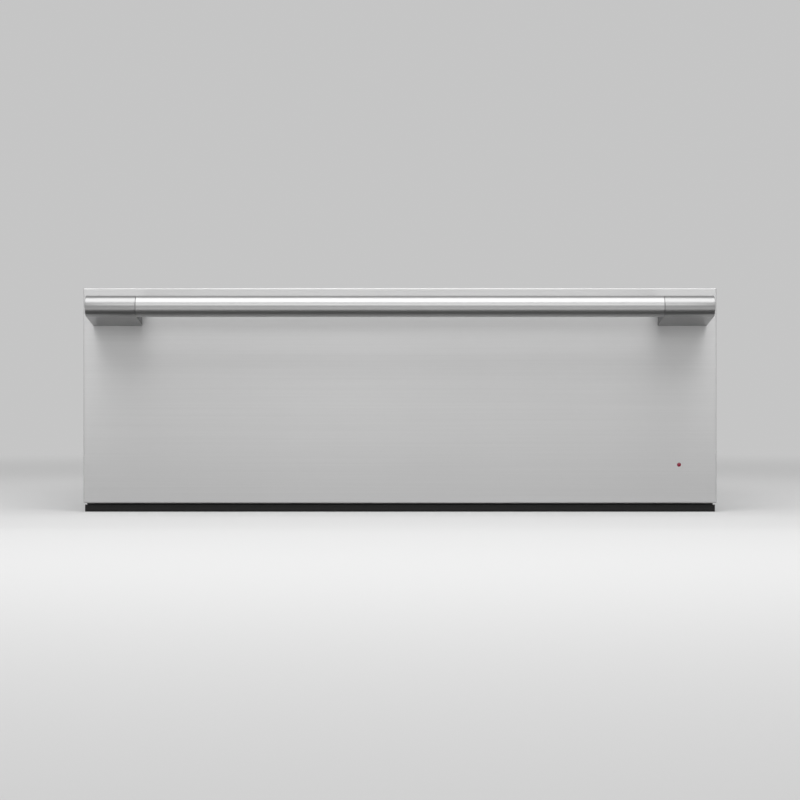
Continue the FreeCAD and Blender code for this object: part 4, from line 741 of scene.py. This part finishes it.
def gland():
    """Rows (y, r), where r is one radius, or a hexagon's radius at each angle: the distance of its flats
    over the cosine of the angle to the nearest flat's middle, which lie at 30 degrees, 90 and so on."""
    low, high = corners("cable_gland")
    centre = (low + high) / 2
    flat = (high[2] - low[2]) / 2
    turn = np.arange(GLAND_STEPS) / GLAND_STEPS * TAU
    to_flat = np.abs(turn % (math.pi / 3) - math.pi / 6)
    hexagon = flat / np.cos(to_flat)
    start, seat, mouth = low[1], high[1] - NUT_HEIGHT, high[1]
    rows = [
        (start, GLAND_BORE),
        (start, THREAD_RADIUS - 0.4 * MM),
        (start + 0.6 * MM, THREAD_RADIUS),
        (seat, THREAD_RADIUS),
        (seat, flat - 0.2 * MM),
        (seat + 1.2 * MM, hexagon),
        (mouth - 1.6 * MM, hexagon),
        (mouth, flat - 0.8 * MM),
        (mouth, MOUTH_RADIUS),
        (mouth - 1.0 * MM, MOUTH_RADIUS - 0.4 * MM),
        (mouth - 1.0 * MM, GLAND_BORE + 0.4 * MM),
        (mouth - 1.4 * MM, GLAND_BORE),
    ]
    points = np.empty((len(rows), GLAND_STEPS, 3))
    for row, (y, r) in enumerate(rows):
        points[row, :, 0] = centre[0] + r * np.cos(turn)
        points[row, :, 1] = y
        points[row, :, 2] = centre[2] + r * np.sin(turn)
    return points


points = gland()
close_up(piece("gland_body", "cable_gland", points, grid_faces(*points.shape[:2], True, True)), crease=25.0)

# %% [markdown]
# ## The door seal
#
# A soft rubber tube is squeezed between the drawer's front and the casing. It could be a curve with a round
# bevel, but its foot is flat where it is glued on. So its section, a flat foot with a round bulb, is
# carried round a rectangle with round corners.

# %% The path round the opening
CORNER_STEPS = 10


def round_path(half_x, low_z, high_z, radius):
    """Points (x, z) and outward normals round a rectangle with quarter circles at its corners."""
    places, normals = [], []
    for side_x, side_z, start in ((1, 1, 0), (-1, 1, 90), (-1, -1, 180), (1, -1, 270)):
        centre_z = high_z - radius if side_z > 0 else low_z + radius
        centre = np.array([side_x * (half_x - radius), centre_z])
        turn = np.radians(start + np.linspace(0, 90, CORNER_STEPS))
        out = np.stack([np.cos(turn), np.sin(turn)], axis=1)
        places.append(centre + radius * out)
        normals.append(out)
    return np.concatenate(places), np.concatenate(normals)


# %% The section, and the seal
SEAL_WIDTH = 8.0 * MM
SEAL_CORNER = 7.5 * MM
BULB_SHARE = 0.42
FOOT_SHARE = 0.12
BULB_STEPS = 24
half = SEAL_WIDTH / 2
low, high = corners("door_seal")
depth = high[1] - low[1]
foot = FOOT_SHARE * depth
turn = np.radians(np.linspace(-25, 205, BULB_STEPS))
bulb = np.stack([BULB_SHARE * SEAL_WIDTH * np.cos(turn), depth * (0.5 + 0.5 * np.sin(turn))], axis=1)
section = np.concatenate([[[half, 0.0], [half, foot]], bulb, [[-half, foot], [-half, 0.0]]])
path, out = round_path(high[0] - half, low[2] + half, high[2] - half, SEAL_CORNER)
points = np.empty((len(path), len(section), 3))
points[..., 0] = path[:, 0, None] + out[:, 0, None] * section[None, :, 0]
points[..., 1] = low[1] + section[None, :, 1]
points[..., 2] = path[:, 1, None] + out[:, 1, None] * section[None, :, 0]
close_up(piece("seal_bulb", "door_seal", points, grid_faces(*points.shape[:2], True, True)), crease=50.0)

# %% [markdown]
# ## The mat
#
# The mat keeps plates from sliding when the drawer is pulled out, so it has low ribs across the way it
# moves. Bump in its finish could draw them, but it would vanish along the mat's edge. The ribs are real
# instead, and cheap: a wave with its tops and hollows cut flat is drawn across the mat's whole width.

# %% A ribbed mat
RIB = 5.0 * MM
RIB_HEIGHT = 0.8 * MM
RIB_STEPS = 8
low, high = corners("anti_slip_mat")
count = int(round((high[1] - low[1]) / RIB))
y = np.linspace(low[1], high[1], count * RIB_STEPS + 1)
wave = np.clip(0.5 - 0.9 * np.cos(TAU * np.arange(len(y)) / RIB_STEPS), 0, 1)
top = high[2] - RIB_HEIGHT * (1 - wave)
under = np.full(len(y), low[2])
points = np.empty((len(y), 4, 3))
for column, (x, z) in enumerate(((low[0], under), (low[0], top), (high[0], top), (high[0], under))):
    points[:, column] = np.stack([np.full(len(y), x), y, z], axis=1)
faces = grid_faces(len(y), 4, False, True).tolist()
faces.append([0, 1, 2, 3])
faces.append([4 * (len(y) - 1) + i for i in (3, 2, 1, 0)])
close_up(piece("mat_ribs", "anti_slip_mat", points, faces), crease=30.0)

# %% [markdown]
# ## Studio
#
# The drawer stands on a plain pale floor that curves up into a pale backdrop, as in a studio with a roll of
# paper. Seen from other sides, such a sweep would show its edge and its bend, and a larger one only has
# them further off. So a metre or more away, the floor fades into the world's own tone, and no horizon shows
# from any side. Near the drawer it stays paper, so the drawer keeps its shadow.

# %% Floor and backdrop in one curved sheet
FLOOR_FRONT = -40.0
FLOOR_BACK = 6.0
FLOOR_BEND = 4.0
FLOOR_WIDTH = 80.0
BACKDROP_TOP = 12.0


def on_stage(name, points, faces):
    """A sheet that belongs to the studio, not to the drawer."""
    made = bpy.data.objects.new(name, mesh_of(name, points, faces))
    bpy.context.scene.collection.objects.link(made)
    print(f"{name}: {len(faces)} faces")
    return made


def sweep(name):
    """A profile in Y and Z, carried across X: level from the front to the back, a quarter circle, then
    straight up."""
    turn = np.linspace(0, math.pi / 2, 24)
    y = np.concatenate([[FLOOR_FRONT], FLOOR_BACK + FLOOR_BEND * np.sin(turn), [FLOOR_BACK + FLOOR_BEND]])
    z = np.concatenate([[0.0], FLOOR_BEND * (1 - np.cos(turn)), [BACKDROP_TOP]])
    x = np.array([-FLOOR_WIDTH / 2, FLOOR_WIDTH / 2])
    points = np.stack(np.broadcast_arrays(x[:, None], y[None, :], z[None, :]), axis=-1)
    return on_stage(name, points, grid_faces(2, len(y), False, False).tolist())


floor = sweep("floor")

# %% The floor's paper
WORLD_LIGHT = 0.56
FADE_NEAR = 0.9
FADE_FAR = 2.6


def plain_grey(name, shade, roughness):
    """A plain matt material of one grey, for the studio."""
    material = bpy.data.materials.new(name)
    material.use_nodes = True
    shader = material.node_tree.nodes["Principled BSDF"]
    shader.inputs["Base Color"].default_value = (*grey(shade), 1)
    shader.inputs["Roughness"].default_value = roughness
    return material


def fading_paper(name):
    """Matt paper. Between a near and a far distance from the drawer it fades into the world's tone, for
    rays from the camera, mirrored rays and rays through glass, so that it lights nothing."""
    material = plain_grey(name, 0.72, 0.9)
    tree = material.node_tree
    place = add(tree, "ShaderNodeTexCoord").outputs["Object"]
    distance = add(tree, "ShaderNodeVectorMath", {0: place}, operation="LENGTH").outputs["Value"]
    limits = {"Value": distance, "From Min": FADE_NEAR, "From Max": FADE_FAR}
    fade = add(tree, "ShaderNodeMapRange", limits, interpolation_type="SMOOTHSTEP").outputs["Result"]
    rays = add(tree, "ShaderNodeLightPath").outputs
    seen = sum_of(tree, rays["Is Glossy Ray"], rays["Is Transmission Ray"])
    seen = sum_of(tree, rays["Is Camera Ray"], seen)
    seen = add(tree, "ShaderNodeClamp", {"Value": seen}).outputs["Result"]
    glow = add(tree, "ShaderNodeEmission", {"Strength": WORLD_LIGHT}).outputs["Emission"]
    matt = tree.nodes["Principled BSDF"].outputs["BSDF"]
    mixed = add(tree, "ShaderNodeMixShader", {0: times(tree, fade, seen), 1: matt, 2: glow})
    tree.links.new(mixed.outputs["Shader"], tree.nodes["Material Output"].inputs["Surface"])
    return material


floor.data.materials.append(fading_paper("floor_paper"))
print("the floor fades between", FADE_NEAR, "and", FADE_FAR, "metres")

# %% [markdown]
# ## Lights
#
# Brushed steel shows what stands round it more than what shines on it. A small lamp would leave a hot spot.
# So a wide soft one overhead makes the bright band along the bar, a weaker one in front fills the face, and
# the world gives plain light from everywhere.


# %% Lamps
def soft_light(name, place, aim, size, power):
    """A rectangular lamp at a place, turned to face a point."""
    lamp = bpy.data.lights.new(name, "AREA")
    lamp.shape = "RECTANGLE"
    lamp.size, lamp.size_y = size
    lamp.energy = power
    made = bpy.data.objects.new(name, lamp)
    made.location = place
    made.rotation_euler = (Vector(aim) - Vector(place)).to_track_quat("-Z", "Y").to_euler()
    bpy.context.scene.collection.objects.link(made)
    print(f"{name}: {power} watts")


soft_light("overhead", place=(0.0, -1.05, 1.75), aim=(0.0, -0.95, 0.0), size=(2.8, 1.9), power=30.0)
soft_light("front_box", place=(0.0, -3.0, 1.15), aim=(0.0, -0.25, 0.15), size=(2.4, 1.0), power=10.0)

# %% The light from everywhere
world = bpy.data.worlds.new("studio")
bpy.context.scene.world = world
world.use_nodes = True
background = world.node_tree.nodes["Background"]
background.inputs["Color"].default_value = (1, 1, 1, 1)
background.inputs["Strength"].default_value = WORLD_LIGHT
print("world light:", WORLD_LIGHT)

# %% [markdown]
# ## A dark card
#
# A real studio lays dark felt in front of polished metal, because metal needs something dark to shine
# against. A darker floor would do it too, but it would be seen. This card is hidden from the camera and
# casts no shadow, so it only shows where the bar, the brackets and the trim mirror it.

# %% The felt card
CARD_HALF_X = 0.8
CARD_FRONT = -0.58
CARD_BACK = -0.258
CARD_Z = 0.002
x = np.array([-CARD_HALF_X, CARD_HALF_X])
y = np.array([CARD_FRONT, CARD_BACK])
points = np.stack(np.broadcast_arrays(x[:, None], y[None, :], CARD_Z), axis=-1)
felt = on_stage("felt_card", points, grid_faces(2, 2, False, False).tolist())
felt.data.materials.append(plain_grey("dark_felt", 0.11, 1.0))
felt.visible_camera = False
felt.visible_diffuse = False
felt.visible_shadow = False

# %% [markdown]
# ## Camera
#
# A drawer's front is square and flat, with a bar that stands out of it. A camera that looks up or down
# would make the upright edges lean, and a near one would make the bar look too large. So the camera stands
# level in front of the drawer, on its middle line and at half its height, far enough away for a long lens.

# %% The camera
FOCAL_LENGTH = 92.7
SENSOR_WIDTH = 36.0
DISTANCE = 2.470
EYE_HEIGHT = 0.1342
camera = bpy.data.cameras.new("camera")
camera.lens = FOCAL_LENGTH
camera.sensor_width = SENSOR_WIDTH
view = bpy.data.objects.new("camera", camera)
view.location = (0.0, FRONT_Y - DISTANCE, EYE_HEIGHT)
view.rotation_euler = (math.pi / 2, 0, 0)
bpy.context.scene.collection.objects.link(view)
bpy.context.scene.camera = view
bpy.context.scene.view_settings.view_transform = "Standard"
print("camera at:", tuple(view.location))
